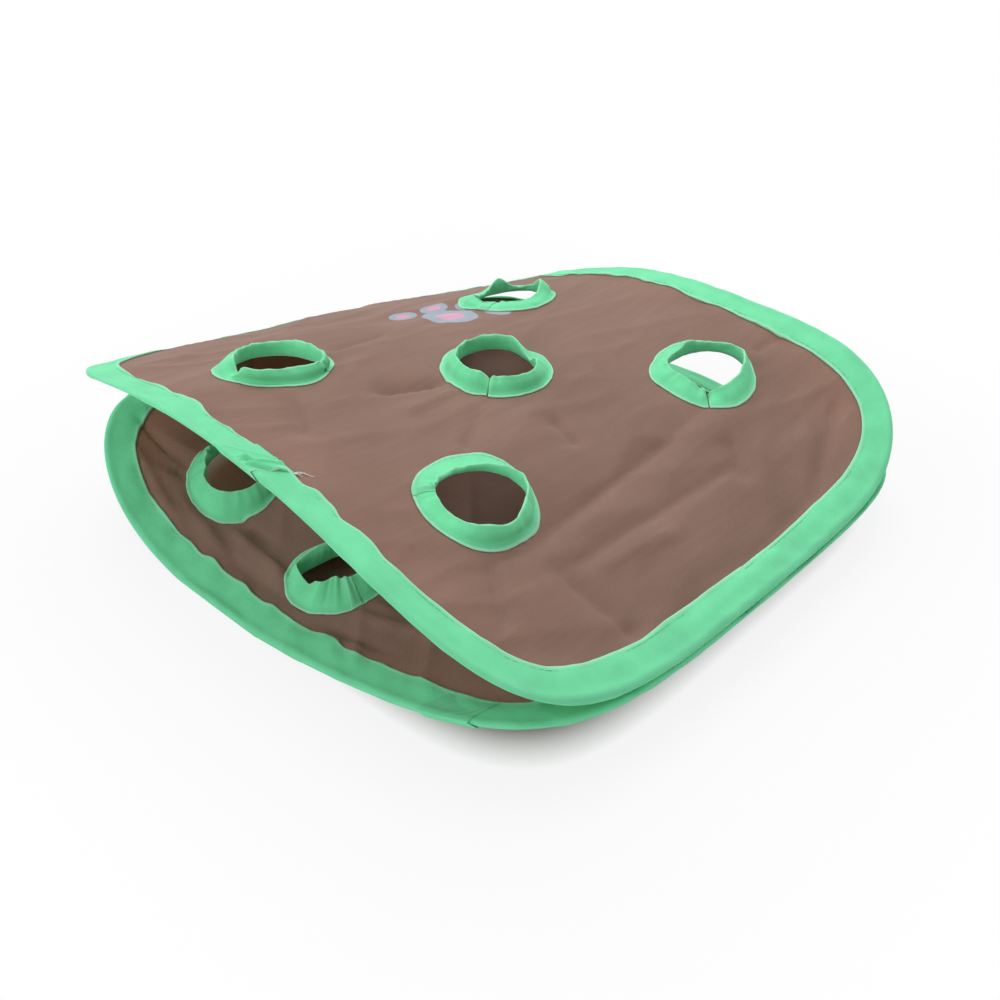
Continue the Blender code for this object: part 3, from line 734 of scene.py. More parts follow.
def weave_height(material, place, spacing):
    """Heights from 0 to 1 of threads that pass over and under each other."""
    waves = []
    split = add_node(material, "SeparateXYZ", None, {"Vector": place})
    for axis in ("X", "Y"):
        angle = add_node(material, "Math", {"operation": "MULTIPLY"}, {
            0: split.outputs[axis], 1: TURN / (2 * spacing)})
        waves.append(add_node(material, "Math", {"operation": "SINE"}, {
            0: angle}).outputs["Value"])
    crossing = add_node(material, "Math", {"operation": "MULTIPLY"}, {0: waves[0], 1: waves[1]})
    return add_node(material, "Math", {"operation": "MULTIPLY_ADD"}, {
        0: crossing, 1: 0.5, 2: 0.5}).outputs["Value"]


def woven_tape(settings):
    """Plain-woven polyester binding tape, dyed green: matt and even, thin enough
    that shaded sides glow a little, with paler woven edges and a painted highlight on fold crests and lifted
    edges."""
    material = new_material("woven_green_tape", {
        "Roughness": 0.82, "Specular IOR Level": 0.22, "Sheen Weight": 0.12,
        "Sheen Roughness": 0.5, "Sheen Tint": linear("D8FFE9"), "IOR": 1.5,
        "Subsurface Weight": 0.25, "Subsurface Radius": (0.4, 1.0, 0.7), "Subsurface Scale": 0.002,
    })
    place = add_node(material, "UVMap", {"uv_map": "cloth_metres"}).outputs["UV"]
    patchy = add_node(material, "TexNoise", None, {
        "Vector": place, "Scale": 60.0, "Detail": 3.0, "Roughness": 0.5})
    shade = add_node(material, "MapRange", None, {
        "Value": patchy.outputs["Fac"], "From Min": 0.3, "From Max": 0.7, "To Min": 0.91, "To Max": 1.05})
    # Pale edge colour mixed in: woven edges of the tape, and painted highlight on fold crests and lifted
    # edges
    edge = add_node(material, "Attribute", {"attribute_name": "edge_and_highlight_share"})
    mixed = add_node(material, "Mix", {"data_type": "RGBA"}, {
        0: edge.outputs["Fac"], 6: tuple(settings.green), 7: tuple(settings.edge_and_highlight_green)})
    shaded = add_node(material, "Mix", {"data_type": "RGBA", "blend_type": "MULTIPLY"}, {
        0: 1.0, 6: mixed.outputs[2], 7: shade})
    link(material, shaded.outputs[2], "Base Color")
    # Ribs of the weave are 0.4 mm apart and are drawn 0.9 mm apart so that they show
    ribs = weave_height(material, place, 0.0009)
    crumple = add_node(material, "TexNoise", None, {
        "Vector": place, "Scale": 210.0, "Detail": 3.0, "Roughness": 0.5})
    height = add_node(material, "Math", {"operation": "MULTIPLY_ADD"}, {
        0: crumple.outputs["Fac"], 1: 4.5, 2: ribs})
    bump = add_node(material, "Bump", None, {
        "Height": height, "Distance": 0.00006, "Strength": 0.6})
    link(material, bump.outputs["Normal"], "Normal")
    return material


def drawn_steel():
    """Hard-drawn spring steel wire and crimped sleeves: bright grey with fine drawing lines."""
    material = new_material("drawn_spring_steel", {
        "Base Color": linear("B4B5B8"), "Metallic": 1.0, "Roughness": 0.34})
    place = add_node(material, "TexCoord").outputs["Object"]
    lines = add_node(material, "TexNoise", None, {"Vector": place, "Scale": 900.0, "Detail": 2.0})
    bump = add_node(material, "Bump", None, {
        "Height": lines.outputs["Fac"], "Distance": 0.00002, "Strength": 0.5})
    link(material, bump.outputs["Normal"], "Normal")
    return material


def spun_thread(name, colour):
    """Spun polyester sewing thread: matt, with a twist that breaks up its light."""
    material = new_material(name, {
        "Base Color": colour, "Roughness": 0.8, "Specular IOR Level": 0.25, "Sheen Weight": 0.2})
    place = add_node(material, "TexCoord").outputs["Object"]
    # The twist is 0.3 mm long and is drawn 0.5 mm long so that it shows
    twist = add_node(material, "TexNoise", None, {"Vector": place, "Scale": 2000.0, "Detail": 1.0})
    bump = add_node(material, "Bump", None, {
        "Height": twist.outputs["Fac"], "Distance": 0.00005, "Strength": 0.6})
    link(material, bump.outputs["Normal"], "Normal")
    return material


def finish(name):
    """A material by name, made when it is first needed."""
    toy = bpy.context.scene.cat_toy
    if name in bpy.data.materials:
        return bpy.data.materials[name]
    makers = {
        "woven_brown_polyester": lambda: woven_polyester(toy.cloth),
        "woven_green_tape": lambda: woven_tape(toy.tape),
        "drawn_spring_steel": drawn_steel,
        "spun_green_thread": lambda: spun_thread("spun_green_thread", tuple(toy.thread.green)),
        "frayed_pale_thread": lambda: spun_thread("frayed_pale_thread", linear("F1FCF5")),
    }
    return makers[name]()


def mark_edges_and_highlights(piece, shares):
    """Store each vertex's share of the pale edge colour: the tape's woven edges, and painted highlight on
    fold crests and lifted edges.
    """
    attribute = piece.data.attributes.new("edge_and_highlight_share", "FLOAT", "POINT")
    attribute.data.foreach_set("value", np.asarray(shares, dtype=np.float32))


# Pieces


def cloth_panel(name, height, places, settings):
    """A panel of thin cloth with its folds and round holes; returns the piece and its area."""
    cells = round(2 * HALF_LENGTH / settings.cell)
    steps = np.linspace(-1.0, 1.0, cells + 1)
    across, along = np.meshgrid(steps, steps, indexing="ij")
    reach = np.maximum(np.abs(across), np.abs(along))
    spread = (np.abs(across) ** OUTLINE_POWER + np.abs(along) ** OUTLINE_POWER) ** (1 / OUTLINE_POWER)
    share = np.where(spread > 0, reach / np.where(spread > 0, spread, 1.0), 1.0)
    x = ((HALF_WIDTH - CLOTH_INSET) * across * share).ravel()
    y = ((HALF_LENGTH - CLOTH_INSET) * along * share).ravel()
    kept = np.ones(len(x), dtype=bool)
    for key, place in places.items():
        away_x, away_y = x - place[0], y - place[1]
        away = np.hypot(away_x, away_y) + 1e-9
        edge = collar_size(key, "sewn", np.arctan2(away_y, away_x) / TURN) - CLOTH_TUCK
        near_edge = np.abs(away - edge) < settings.cell * 0.74
        kept &= (away >= edge) | near_edge
        x = np.where(near_edge, place[0] + away_x / away * edge, x)
        y = np.where(near_edge, place[1] + away_y / away * edge, y)
    z = height(x, y)
    faces, _, _ = skin_faces(cells + 1, cells + 1, False, False)
    faces = faces[kept[faces].all(axis=1)]
    used = np.unique(faces)
    number = np.full(len(x), -1)
    number[used] = np.arange(len(used))
    faces = number[faces]
    points = np.stack([x, y, z], axis=1)[used]
    corners = points[faces]
    crossed = np.cross(corners[:, 2] - corners[:, 0], corners[:, 3] - corners[:, 1])
    area = float(np.linalg.norm(crossed, axis=1).sum() / 2)
    normals = np.zeros_like(points)
    for corner in range(4):
        np.add.at(normals, faces[:, corner], crossed)
    normals /= np.linalg.norm(normals, axis=1, keepdims=True)
    half = settings.thickness / 2
    vertices = np.concatenate([points + normals * half, points - normals * half])
    edges = np.concatenate([faces[:, [i, (i + 1) % 4]] for i in range(4)])
    keys = np.sort(edges, axis=1)
    _, first, counts = np.unique(keys, axis=0, return_index=True, return_counts=True)
    border = edges[first[counts == 1]]
    count = len(points)
    sides = np.stack([border[:, 1], border[:, 0], border[:, 0] + count, border[:, 1] + count], axis=1)
    every_face = np.concatenate([faces, faces[:, ::-1] + count, sides])
    cloth_places = points[:, :2] + (0.0 if places is UPPER_HOLES else PLAIN_CLOTH_SHIFT)
    uvs = np.concatenate([cloth_places, cloth_places])[every_face.ravel()]
    piece = new_piece(name, vertices, every_face, finish("woven_brown_polyester"), uvs)
    return piece, area


def tape_section(width, wall, edge_lift):
    """Half section of the rim's tape as (distance inward, height) pairs, outside then inside."""
    outside = [
        (width, 0.00045 + edge_lift), (width, 0.00045 + wall + edge_lift),
        (width - 0.0006, 0.0006 + wall + edge_lift), (width - 0.0018, 0.00045 + wall + edge_lift * 0.5),
        (width - 0.0030, 0.00065 + wall + edge_lift * 0.15), (0.0105, 0.0014), (0.0080, 0.00135),
        (0.0058, 0.00125), (0.0042, 0.00135), (0.0031, 0.0016), (0.00215, 0.0017),
        (0.0013, 0.0015), (0.0006, 0.00105), (0.0002, 0.0005),
    ]
    inside = [
        (0.0007, 0.0004), (0.0012, 0.00105), (0.00215, 0.0012), (0.0032, 0.0010), (0.0045, 0.0005),
        (0.0062, 0.0004), (0.0080, 0.0004), (0.0105, 0.0004), (width - 0.0030, 0.0004)]
    return outside, inside


def scallop_share(turns):
    """How strongly the rim's sewn edge is puckered: most along the front left and back right."""
    front = np.exp(-(((turns / TURN - 0.74 + 0.5) % 1.0 - 0.5) / 0.085) ** 4)
    back = np.exp(-(((turns / TURN - 0.30 + 0.5) % 1.0 - 0.5) / 0.10) ** 4)
    return np.clip(0.05 + front + back, 0.0, 1.0)


def rim_tape(name, height, turns, length, settings, lowest_wall, puckered, seed):
    """The folded tape round a panel; returns the piece."""
    count = len(turns) - 1
    turns = turns[:-1]
    points, inward = outline(turns)
    station = np.arange(count) * length / count
    fine = soft_noise(station, station * 0, settings.scallop_pitch * 0.55, 1.0, seed)
    broad = soft_noise(station, station * 0, settings.scallop_pitch * 1.6, 1.0, seed + 1)
    wave = 0.95 * fine + 0.85 * broad
    strength = scallop_share(turns) * puckered
    edge = settings.width + settings.scallop * strength * wave
    lift = 0.00080 * strength * np.clip(wave, 0.0, 1.0) + 0.00008
    rings = []
    for index in range(count):
        outside, inside = tape_section(edge[index], settings.wall, lift[index])
        loop = [(d, h, 0.0) for d, h in reversed(outside)]
        loop += [(edge[index] - 0.0001, 0.00035, lowest_wall)]
        loop += [(d, h, lowest_wall) for d, h in reversed(inside)]
        loop += [(d, -h, lowest_wall) for d, h in inside]
        loop += [(edge[index] - 0.0001, -0.00035, lowest_wall)]
        loop += [(d, -h, 0.0) for d, h in outside]
        rings.append(loop)
    rings = np.array(rings)
    inset, rise, least = rings[..., 0], rings[..., 1], rings[..., 2]
    x = points[:, None, 0] + inward[:, None, 0] * inset
    y = points[:, None, 1] + inward[:, None, 1] * inset
    ease = 0.00055 * soft_noise(x * 40 + 3, y * 40, 1.0, 1.0, seed + 2)
    ease = ease + 0.00036 * soft_noise(station[:, None] + inset * 0.8, inset, 0.0075, 0.010, seed + 3)
    ease = ease * (np.abs(rise) > 0.0009)
    pulled = soft_noise(station, station * 0, 0.0052, 1.0, seed + 4)[:, None]
    near_seam = smooth_step((inset - edge[:, None] + 0.0085) / 0.0070)
    ease = ease + 0.00055 * pulled * near_seam * strength[:, None] * (rise > 0.0009)
    ease = np.maximum(ease, TAPE_CLEARANCE - np.abs(rise)) * (np.abs(rise) > 0.0009)
    z = np.maximum(least, height(x, y) + rise + ease * np.sign(rise))
    shape = np.stack([x, y, z], axis=-1)
    places = section_places(rings[0, :, :2])
    u_places = np.arange(count + 1) * length / count
    vertices, faces, uvs = skin(shape, True, u_places, places)
    piece = new_piece(name, vertices, faces, finish("woven_green_tape"), uvs)
    # Pale line at the sewn edge: the woven edge, with a painted highlight where the edge lifts
    mark_edges_and_highlights(piece, np.clip(1 - (edge[:, None] - inset - 0.0003) / 0.0009, 0.0, 1.0).ravel())
    return piece


def collar_size(key, part, shares):
    """How far out a collar is sewn, how far its fold reaches or how high it is, at each share."""
    usual, bulges = COLLARS[key][part]
    size = np.full(np.shape(shares), float(usual))
    for place, spread, amount in bulges:
        away = (shares - place + 0.5) % 1.0 - 0.5
        size = size + amount * np.exp(-(away / spread) ** 2)
    return size * MM


def collar_loops(key, place, height, shares, grow=0.0):
    """Section points of a hole's folded tape at each share of the turn."""
    outer, reach, rise = [collar_size(key, part, shares) for part in ("sewn", "reach", "height")]
    seed = sum(ord(letter) for letter in key)
    ripple = soft_noise(np.cos(shares * TURN) * 3.1, np.sin(shares * TURN) * 3.1, 1.0, 1.0, seed)
    fine = soft_noise(np.cos(shares * TURN) * 8.0, np.sin(shares * TURN) * 8.0, 1.0, 1.0, seed + 1)
    away = np.abs((shares - COLLAR_JOINS[key] + 0.5) % 1.0 - 0.5)
    gathered = np.exp(-(away / 0.045) ** 2)
    outer = outer + 0.0004 * ripple + 0.0002 * fine
    reach = reach + 0.0004 * ripple + 0.00025 * fine * (1 + 2 * gathered)
    rise = rise + 0.00040 * fine * (1 + 4 * gathered)
    rise = rise - 0.0018 * np.exp(-(away / 0.010) ** 2) * (key in SLIT_COLLARS)
    slant = outer - reach
    bulge = 0.0006 + 0.0004 * ripple
    zero = np.zeros_like(outer)
    wall = 0.00038 + grow
    loop = [
        (outer, zero + 0.0004), (outer, zero + 0.0004 + wall), (outer - 0.0007, zero + 0.0006 + wall),
        (outer - 0.0019, 0.0001 + wall + rise * 0.04), (outer - 0.0031, 0.0008 + wall + rise * 0.16),
        (outer - slant * 0.45, rise * 0.42 + bulge + grow),
        (outer - slant * 0.68, rise * 0.68 + bulge + grow),
        (reach + 0.0007, rise - 0.0005 + grow), (reach + 0.0003, rise + grow),
        (reach - 0.0001, rise + grow), (reach - 0.0005 - grow, rise - 0.0006),
        (reach - 0.0003 + 0.0010 * ripple, rise * 0.62), (reach, rise * 0.30),
        (reach + 0.0006, zero + 0.0004), (reach + 0.0012, zero - 0.0006),
        (reach + 0.0026, zero - 0.0010), (outer - 0.0012, zero - 0.0010), (outer - 0.0012, zero - 0.0004),
        (outer - CLOTH_TUCK - 0.0003, zero - 0.0004), (outer - CLOTH_TUCK - 0.0005, zero),
        (outer - CLOTH_TUCK - 0.0003, zero + 0.0004),
    ]
    radius = np.stack([r for r, _ in loop], axis=1)
    rises = np.stack([h for _, h in loop], axis=1)
    level = np.arange(len(loop))[None, :]
    crumple = soft_noise(
        5.1 * np.cos(shares * TURN)[:, None] + 0.45 * level,
        5.1 * np.sin(shares * TURN)[:, None] + 0.31 * level, 1.0, 1.0, seed + 2)
    crumple = crumple * (1 + 2.0 * gathered[:, None]) * ((level > 3) & (level < 13))
    radius = radius + 0.00032 * crumple
    angle = shares[:, None] * TURN
    x = place[0] + radius * np.cos(angle)
    y = place[1] + radius * np.sin(angle)
    return np.stack([x, y, height(x, y) + rises], axis=-1)


def hole_collar(name, key, place, height):
    """Folded tape sewn round one hole, standing up as a puckered collar, with its lapped end."""
    slit = key in SLIT_COLLARS
    shares = np.arange(COLLAR_STATIONS) / COLLAR_STATIONS
    if slit:
        shares = COLLAR_JOINS[key] + np.linspace(SLIT_HALF_SHARE, 1 - SLIT_HALF_SHARE, COLLAR_STATIONS)
    else:
        near_join = (COLLAR_JOINS[key] + np.array([-0.0035, -0.0015, 0.0005, 0.0025])) % 1.0
        shares = np.unique(np.concatenate([shares, near_join]))
    loops = collar_loops(key, place, height, shares)
    u_places = np.append(shares, shares[0] + 1.0) * TURN * COLLAR_TEXTURE_RADIUS
    section = np.stack([np.hypot(*(loops[0, :, :2] - place).T), loops[0, :, 2]], axis=1)
    vertices, faces, uvs = skin(loops, not slit, u_places, section_places(section))
    # Pale edge colour: woven edges of the tape, painted highlight on the fold's crest and at the slit's cut
    # ends
    body_edge_highlights = np.tile(COLLAR_EDGE_AND_HIGHLIGHT_SHARES, (len(shares), 1))
    if slit:
        body_edge_highlights[[0, -1]] = 0.7
        piece = new_piece(name, vertices, faces, finish("woven_green_tape"), uvs)
        mark_edges_and_highlights(piece, body_edge_highlights.ravel())
        return piece
    lap = COLLAR_JOINS[key] + np.linspace(-0.006, 0.030, 12)
    layers = [collar_loops(key, place, height, lap, grow)[:, 1:11] for grow in (0.00040, 0.00010)]
    lap_loops = np.concatenate([layers[0], layers[1][:, ::-1]], axis=1)
    lap_section = np.linspace(0.0, 0.024, lap_loops.shape[1] + 1)
    lap_vertices, lap_faces, lap_uvs = skin(lap_loops, False, lap * TURN * COLLAR_TEXTURE_RADIUS, lap_section)
    count = len(vertices)
    faces = faces + [[corner + count for corner in face] for face in lap_faces]
    vertices = np.concatenate([vertices, lap_vertices])
    uvs = np.concatenate([uvs, lap_uvs])
    piece = new_piece(name, vertices, faces, finish("woven_green_tape"), uvs)
    # Painted highlight along the lap's ends, and the pale woven outer edge
    lap_edge_highlights = np.zeros(lap_loops.shape[:2])
    lap_edge_highlights[0] = lap_edge_highlights[-1] = 0.8
    lap_edge_highlights[:, 0] = 1.0
    mark_edges_and_highlights(piece, np.concatenate([body_edge_highlights.ravel(), lap_edge_highlights.ravel()]))
    return piece


def collar_stitches(key, place, height, thread):
    """The row of stitches that holds a collar's outer edge to the cloth."""
    shares = np.linspace(0.0, 1.0, 161)
    loops = collar_loops(key, place, height, shares)
    path = loops[:, 3] * 0.45 + loops[:, 2] * 0.55
    path[:, 2] -= 0.00005
    up = np.tile((0.0, 0.0, 1.0), (len(path), 1))
    return stitch_row(path, up, thread)


class CATTOY_OT_cloth(bpy.types.Operator):
    """Make the two panels of brown polyester"""

    bl_idname = "cat_toy.cloth"
    bl_label = "Cloth Panels"

    def execute(self, context):
        settings = context.scene.cat_toy.cloth
        upper, upper_area = cloth_panel("upper_cloth", upper_cloth_height, UPPER_HOLES, settings)
        lower, lower_area = cloth_panel("lower_cloth_sheet", lower_cloth_height, LOWER_HOLES, settings)
        settle(upper, ["upper_cloth_left", "upper_cloth_centre", "upper_cloth_right"])
        settle(lower, ["lower_cloth"])
        upper["flat_area"] = upper_area
        lower["flat_area"] = lower_area
        return {"FINISHED"}


class CATTOY_OT_rim_tape(bpy.types.Operator):
    """Make the folded tape round both panels"""

    bl_idname = "cat_toy.rim_tape"
    bl_label = "Rim Tape"

    def execute(self, context):
        settings = context.scene.cat_toy.tape
        turns, length = even_turns(0.0, TURN, RIM_SECTIONS)
        upper = rim_tape(
            "upper_rim_tape", upper_cloth_height, turns, length, settings, 0.0, 1.0, UPPER_TAPE_SEED)
        lower = rim_tape(
            "lower_rim_tape", lower_cloth_height, turns, length, settings, 0.0002, 0.6, LOWER_TAPE_SEED)
        settle(upper, [
            "upper_edge_binding_left", "upper_edge_binding_right",
            "upper_edge_binding_centre_front", "upper_edge_binding_centre_back"])
        settle(lower, ["lower_edge_binding"])
        return {"FINISHED"}


class CATTOY_OT_hoops(bpy.types.Operator):
    """Make the spring hoops and the crimped sleeves that close them"""

    bl_idname = "cat_toy.hoops"
    bl_label = "Spring Hoops"

    def execute(self, context):
        turns, length = even_turns(0.0, TURN, HOOP_SECTIONS)
        points, inward = outline(turns[:-1])
        x, y = (points + inward * HOOP_INSET).T
        sleeve_turns, _ = even_turns(-QUARTER - 0.5, -QUARTER + 0.5, 200)
        sleeve_points, sleeve_inward = outline(sleeve_turns)
        sleeve_x, sleeve_y = (sleeve_points + sleeve_inward * HOOP_INSET).T
        near = np.abs(sleeve_x) <= FERRULE_LENGTH / 2
        sleeve_x, sleeve_y = sleeve_x[near], sleeve_y[near]
        crimp = FERRULE_RADIUS * (1 - 0.16 * np.exp(-((np.abs(sleeve_x) - 0.0035) / 0.0008) ** 2))
        for side, height, _ in PANELS:
            hoop = new_piece(
                side + "_spring_hoop", *tube(np.stack([x, y, height(x, y)], axis=1), WIRE_RADIUS, 8, True),
                finish("drawn_spring_steel"))
            sleeve = new_piece(
                side + "_hoop_sleeve",
                *tube(np.stack([sleeve_x, sleeve_y, height(sleeve_x, sleeve_y)], axis=1), crimp, 14),
                finish("drawn_spring_steel"))
            nodes = ["lower_hoop"]
            if side == "upper":
                nodes = ["upper_hoop_left", "upper_hoop_right", "upper_hoop_centre_front",
                         "upper_hoop_centre_back"]
            settle(hoop, nodes)
            settle(sleeve, [side + "_hoop_ferrule"])
        return {"FINISHED"}


class CATTOY_OT_collars(bpy.types.Operator):
    """Make the puckered tape collar of each paw hole"""

    bl_idname = "cat_toy.collars"
    bl_label = "Hole Collars"

    def execute(self, context):
        for side, height, places in PANELS:
            for key, place in places.items():
                collar = hole_collar(side + "_collar_" + key, key, place, height)
                settle(collar, [side + "_hole_binding_" + key])
        return {"FINISHED"}


def lapped_end(name, height, centre, settings, folded):
    """The sewn end of a rim's tape, lapped over its start, with gathered ridges near its end."""
    half = OVERLAP_LENGTH / 2
    turns, span = even_turns(turn_at(centre - half), turn_at(centre + half), 72)
    points, inward = outline(turns)
    along = np.linspace(-1.0, 1.0, len(turns))[:, None]
    outside, _ = tape_section(settings.width, settings.wall, 0.0002)
    insets = np.array([d for d, _ in outside[1:]][::-1])
    insets = np.interp(np.linspace(0, len(insets) - 1, 25), np.arange(len(insets)), insets)
    rises = np.interp(insets, [d for d, _ in outside[::-1]], [h for _, h in outside[::-1]])
    lean = (insets / settings.width - 0.5) * 0.75
    ridges = sum(
        high * np.exp(-((along - middle - lean * spread) / wide) ** 2)
        for high, middle, spread, wide in (
            (0.0026, 0.88, 1.0, 0.07), (0.0020, 0.62, 1.7, 0.07), (0.0012, 0.30, 0.2, 0.09),
            (0.0006, -0.35, 1.2, 0.12)))
    tuck = np.exp(-((along - 0.62 - lean) / 0.10) ** 2) * np.exp(-((insets - 0.0085) / 0.0022) ** 2)
    ridges = folded * np.maximum(ridges - 0.0040 * tuck, 0.0) * smooth_step(insets / 0.004)
    skew = lean * half
    over = rises + 0.00025 + 0.00025 * folded + ridges
    under = rises + 0.00010 + ridges * 0.6
    outward = insets - 0.0006 * (insets < 0.001)
    inset = np.concatenate([outward, insets[::-1], insets, outward[::-1]])
    below = np.broadcast_to(-rises, over.shape)
    rise = np.concatenate([over, under[:, ::-1], below - 0.00015, below[:, ::-1] - 0.0005], axis=1)
    shift = np.concatenate([skew, skew[::-1], skew * 0, skew * 0])
    x = points[:, None, 0] + inward[:, None, 0] * inset + inward[:, None, 1] * shift
    y = points[:, None, 1] + inward[:, None, 1] * inset - inward[:, None, 0] * shift
    z = np.maximum(0.0, height(x, y) + rise)
    vertices, faces, uvs = skin(
        np.stack([x, y, z], axis=-1), False, np.arange(len(turns)) * span / (len(turns) - 1),
        np.linspace(0.0, 0.064, len(inset) + 1))
    piece = new_piece(name, vertices, faces, finish("woven_green_tape"), uvs)
    # Painted highlight on the last rows, where the lap's end is folded over
    shares = np.zeros((len(turns), len(inset)))
    shares[-2:] = 0.9 * folded
    mark_edges_and_highlights(piece, shares.ravel())
    return piece


def frayed_ends(name, height, settings):
    """Loose threads that stand out of the upper tape's lapped end, onto the cloth."""
    start = np.array([OVERLAP_LENGTH / 2 + 0.0070, -HALF_LENGTH + settings.tape.width - 0.0010])
    parts = []
    for length, angle, bend in ((0.0090, 1.12, 0.0009), (0.0058, 1.34, -0.0007), (0.0040, 0.96, 0.0005)):
        share = np.linspace(0.0, 1.0, 12)
        ahead, aside = length * share, bend * np.sin(share * math.pi * 1.3)
        x = start[0] + ahead * math.cos(angle) - aside * math.sin(angle)
        y = start[1] + ahead * math.sin(angle) + aside * math.cos(angle)
        z = height(x, y) + 0.0010 + 0.0006 * np.sin(share * 4.0) * (1 - share) - 0.0007 * share
        parts.append(tube(np.stack([x, y, z], axis=1), settings.thread.diameter * (0.85 - 0.35 * share), 6))
    return new_piece(name, *merged(parts), finish("frayed_pale_thread"))


class CATTOY_OT_tape_laps(bpy.types.Operator):
    """Make the lapped ends of the rim tapes, with their folds and frayed thread"""

    bl_idname = "cat_toy.tape_laps"
    bl_label = "Tape Laps"

    def execute(self, context):
        toy = context.scene.cat_toy
        for side, height, centre, folded in (
                ("upper", upper_cloth_height, UPPER_OVERLAP_X, 1.0),
                ("lower", lower_cloth_height, LOWER_OVERLAP_X, 0.1)):
            lap = lapped_end(side + "_tape_lap", height, centre, toy.tape, folded)
            settle(lap, [side + "_tape_overlap"])
        carry(frayed_ends("upper_lap_frayed_thread", upper_cloth_height, toy))
        return {"FINISHED"}


class CATTOY_OT_stitches(bpy.types.Operator):
    """Sew the stitch rows along the rim tapes and round the collars"""

    bl_idname = "cat_toy.stitches"
    bl_label = "Stitch Rows"

    def execute(self, context):
        toy = context.scene.cat_toy
        turns, _ = even_turns(0.0, TURN, STITCH_PATH_POINTS)
        points, inward = outline(turns)
        inset = toy.tape.width - 0.0021
        x, y = (points + inward * inset).T
        for side, height, places in PANELS:
            parts = []
            for sign in (1, -1):
                if side == "lower" and sign < 0:
                    continue
                rise = sign * (0.00045 + toy.tape.wall + 0.00012)
                path = np.stack([x, y, height(x, y) + rise], axis=1)
                up = np.tile((0.0, 0.0, float(sign)), (len(path), 1))
                parts.append(stitch_row(path, up, toy.thread))
            parts += [collar_stitches(key, place, height, toy.thread) for key, place in places.items()]
            rows = new_piece(side + "_stitches", *merged(parts), finish("spun_green_thread"))
            carry(rows)
        return {"FINISHED"}


class CATTOY_OT_side_seams(bpy.types.Operator):
    """Sew the two rims together along the left and right sides"""

    bl_idname = "cat_toy.side_seams"
    bl_label = "Side Seams"

    def execute(self, context):
        for side, sign in (("left", -1), ("right", 1)):
            steps = round(2 * SEAM_HALF_LENGTH / SEAM_STEP)
            number = np.arange(steps + 1)
            y = -SEAM_HALF_LENGTH + 2 * SEAM_HALF_LENGTH * number / steps
            edge = (1 - np.abs(y / HALF_LENGTH) ** OUTLINE_POWER) ** (1 / OUTLINE_POWER)
            x = sign * (HALF_WIDTH * edge - SEAM_INSET)
            low, high = lower_cloth_height(x, y) + 0.0009, upper_cloth_height(x, y) - 0.0009
            zigzag = np.where(number % 2 == 0, low, high)
            outward = sign * 0.0004 * np.cos(number * math.pi)
            stitches = tube(np.stack([x + outward, y, zigzag], axis=1), 0.00028, 6)
            bar = tube(np.stack([x, y, (low + high) / 2], axis=1), 0.0003, 6)
            seam = new_piece(side + "_seam_stitches", *merged([stitches, bar]), finish("spun_green_thread"))
            settle(seam, [side + "_seam_thread"])
        return {"FINISHED"}


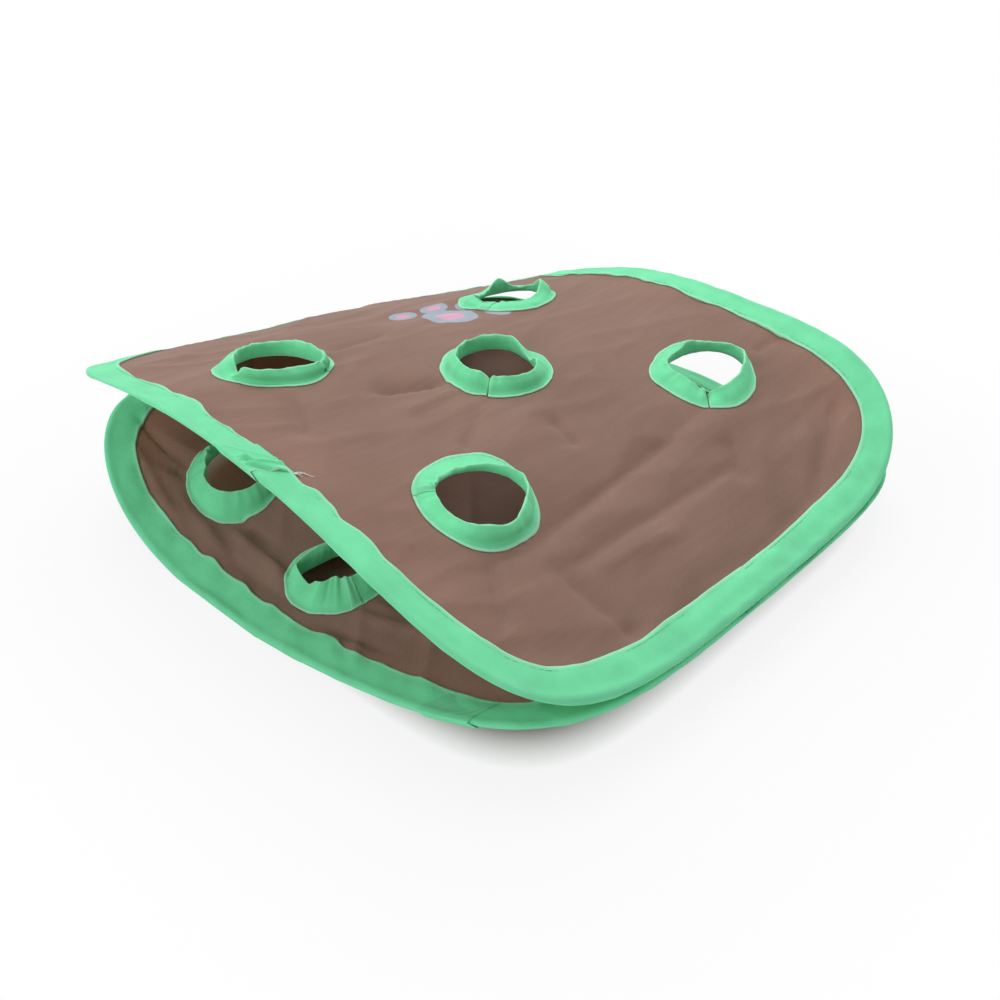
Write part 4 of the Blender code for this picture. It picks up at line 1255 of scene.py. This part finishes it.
class CATTOY_OT_stage(bpy.types.Operator):
    """Set the floor, the lamps, the white surroundings and the camera"""

    bl_idname = "cat_toy.stage"
    bl_label = "Stage"

    def execute(self, context):
        settings = context.scene.cat_toy.stage
        half = settings.floor_side / 2
        material = new_material("white_floor_paper_with_painted_shade", {"Roughness": 0.95, "Specular IOR Level": 0.0})
        tree = material.node_tree
        ray = add_node(material, "LightPath")
        seen = add_node(material, "Math", {"operation": "ADD", "use_clamp": True}, {
            0: ray.outputs["Is Camera Ray"], 1: ray.outputs["Is Glossy Ray"]})
        seen = add_node(material, "Math", {"operation": "ADD", "use_clamp": True}, {
            0: seen, 1: ray.outputs["Is Transmission Ray"]})
        place = add_node(material, "TexCoord").outputs["Object"]
        near = add_node(material, "VectorMath", {"operation": "DIVIDE"}, {
            0: place, 1: (HALF_WIDTH, HALF_LENGTH, 1.0)})
        near = add_node(material, "VectorMath", {"operation": "ABSOLUTE"}, {
            0: near})
        near = add_node(material, "SeparateXYZ", None, {"Vector": near})
        across = add_node(material, "Math", {"operation": "POWER"}, {
            0: near.outputs["X"], 1: OUTLINE_POWER})
        along = add_node(material, "Math", {"operation": "POWER"}, {
            0: near.outputs["Y"], 1: OUTLINE_POWER})
        near = add_node(material, "Math", {"operation": "ADD"}, {
            0: across, 1: along})
        near = add_node(material, "Math", {"operation": "POWER"}, {
            0: near, 1: 1 / OUTLINE_POWER})
        beneath = add_node(material, "MapRange", None, {
            "Value": near, "From Min": 0.84, "From Max": 0.96,
            "To Min": 0.0, "To Max": 0.86})
        beyond = add_node(material, "MapRange", None, {
            "Value": near, "From Min": 1.0, "From Max": 1.9,
            "To Min": 0.0, "To Max": 0.14})
        # Painted shade: under the toy the paper's colour is painted brown, for the shade there and the light
        # that comes through the brown cloth
        painted_shade_share = add_node(material, "MapRange", None, {
            "Value": near, "From Min": 0.76, "From Max": 0.92})
        paper_with_painted_shade = add_node(material, "Mix", {"data_type": "RGBA"}, {
            0: painted_shade_share, 6: linear("B08571"), 7: linear("EDEDED")})
        link(material, paper_with_painted_shade.outputs[2], "Base Color")
        spread = add_node(material, "Math", {"operation": "ADD"}, {
            0: beneath, 1: beyond})
        share = add_node(material, "Math", {"operation": "MULTIPLY"}, {
            0: seen, 1: spread})
        glow = add_node(material, "Emission", None, {"Color": (1, 1, 1, 1), "Strength": 1.0})
        mixed = add_node(material, "MixShader", None, {
            0: share, 1: shader(material).outputs["BSDF"], 2: glow.outputs["Emission"]})
        tree.links.new(mixed.outputs["Shader"], tree.nodes["Material Output"].inputs["Surface"])
        floor = new_piece(
            "floor", [(-half, -half, 0), (half, -half, 0), (half, half, 0), (-half, half, 0)],
            [(0, 1, 2, 3)], material)
        floor.location.z = -FLOOR_DROP
        for name, power, (size, spot) in (
                ("top_lamp", settings.top_light, TOP_LAMP),
                ("front_lamp", settings.front_light, FRONT_LAMP)):
            lamp = bpy.data.lights.new(name, "AREA")
            lamp.energy = power
            lamp.size = size
            holder = bpy.data.objects.new(name, lamp)
            holder.location = spot
            holder.rotation_euler = (-Vector(spot)).to_track_quat("-Z", "Y").to_euler()
            context.scene.collection.objects.link(holder)
        world = bpy.data.worlds.new("white_surroundings")
        context.scene.world = world
        world.use_nodes = True
        ray = add_node(world, "LightPath")
        level = add_node(world, "MapRange", None, {
            "Value": ray.outputs["Is Camera Ray"], "To Min": settings.surrounding, "To Max": 1.0})
        background = world.node_tree.nodes["Background"]
        background.inputs["Color"].default_value = (1, 1, 1, 1)
        world.node_tree.links.new(level.outputs["Result"], background.inputs["Strength"])
        camera = bpy.data.cameras.new("camera")
        camera.lens = CAMERA_LENS
        camera.sensor_width = SENSOR_WIDTH
        camera.shift_x, camera.shift_y = CAMERA_SHIFT
        camera.clip_start = 0.01
        holder = bpy.data.objects.new("camera", camera)
        view = VIEW_DIRECTION.normalized()
        holder.location = Vector((0.0, 0.0, CAMERA_AIM_HEIGHT)) - view * CAMERA_DISTANCE
        holder.rotation_euler = view.to_track_quat("-Z", "Y").to_euler()
        context.scene.collection.objects.link(holder)
        context.scene.camera = holder
        context.scene.view_settings.view_transform = "Standard"
        return {"FINISHED"}


class CATTOY_PT_toy(bpy.types.Panel):
    """Buttons and sizes of the play toy"""

    bl_idname = "CATTOY_PT_toy"
    bl_label = "Play Toy"
    bl_space_type = "VIEW_3D"
    bl_region_type = "UI"
    bl_category = "Play Toy"

    def draw(self, context):
        for operator in OPERATORS:
            self.layout.operator(operator.bl_idname)
        for group in ("cloth", "tape", "thread", "stage"):
            settings = getattr(context.scene.cat_toy, group)
            box = self.layout.box()
            for name in settings.__annotations__:
                box.prop(settings, name)


OPERATORS = (
    CATTOY_OT_cloth, CATTOY_OT_rim_tape, CATTOY_OT_hoops, CATTOY_OT_collars, CATTOY_OT_tape_laps,
    CATTOY_OT_stitches, CATTOY_OT_side_seams, CATTOY_OT_stage,
)
GROUPS = (ClothSettings, TapeSettings, ThreadSettings, StageSettings, ToySettings)


def register():
    """Register the settings, operators and panel."""
    for group in GROUPS + OPERATORS + (CATTOY_PT_toy,):
        bpy.utils.register_class(group)
    bpy.types.Scene.cat_toy = PointerProperty(type=ToySettings)


def unregister():
    """Remove what register added."""
    del bpy.types.Scene.cat_toy
    for group in reversed(GROUPS + OPERATORS + (CATTOY_PT_toy,)):
        bpy.utils.unregister_class(group)


def main():
    """Make every piece."""
    register()
    for operator in OPERATORS:
        getattr(bpy.ops.cat_toy, operator.bl_idname.split(".")[1])()


if __name__ == "__main__":
    main()
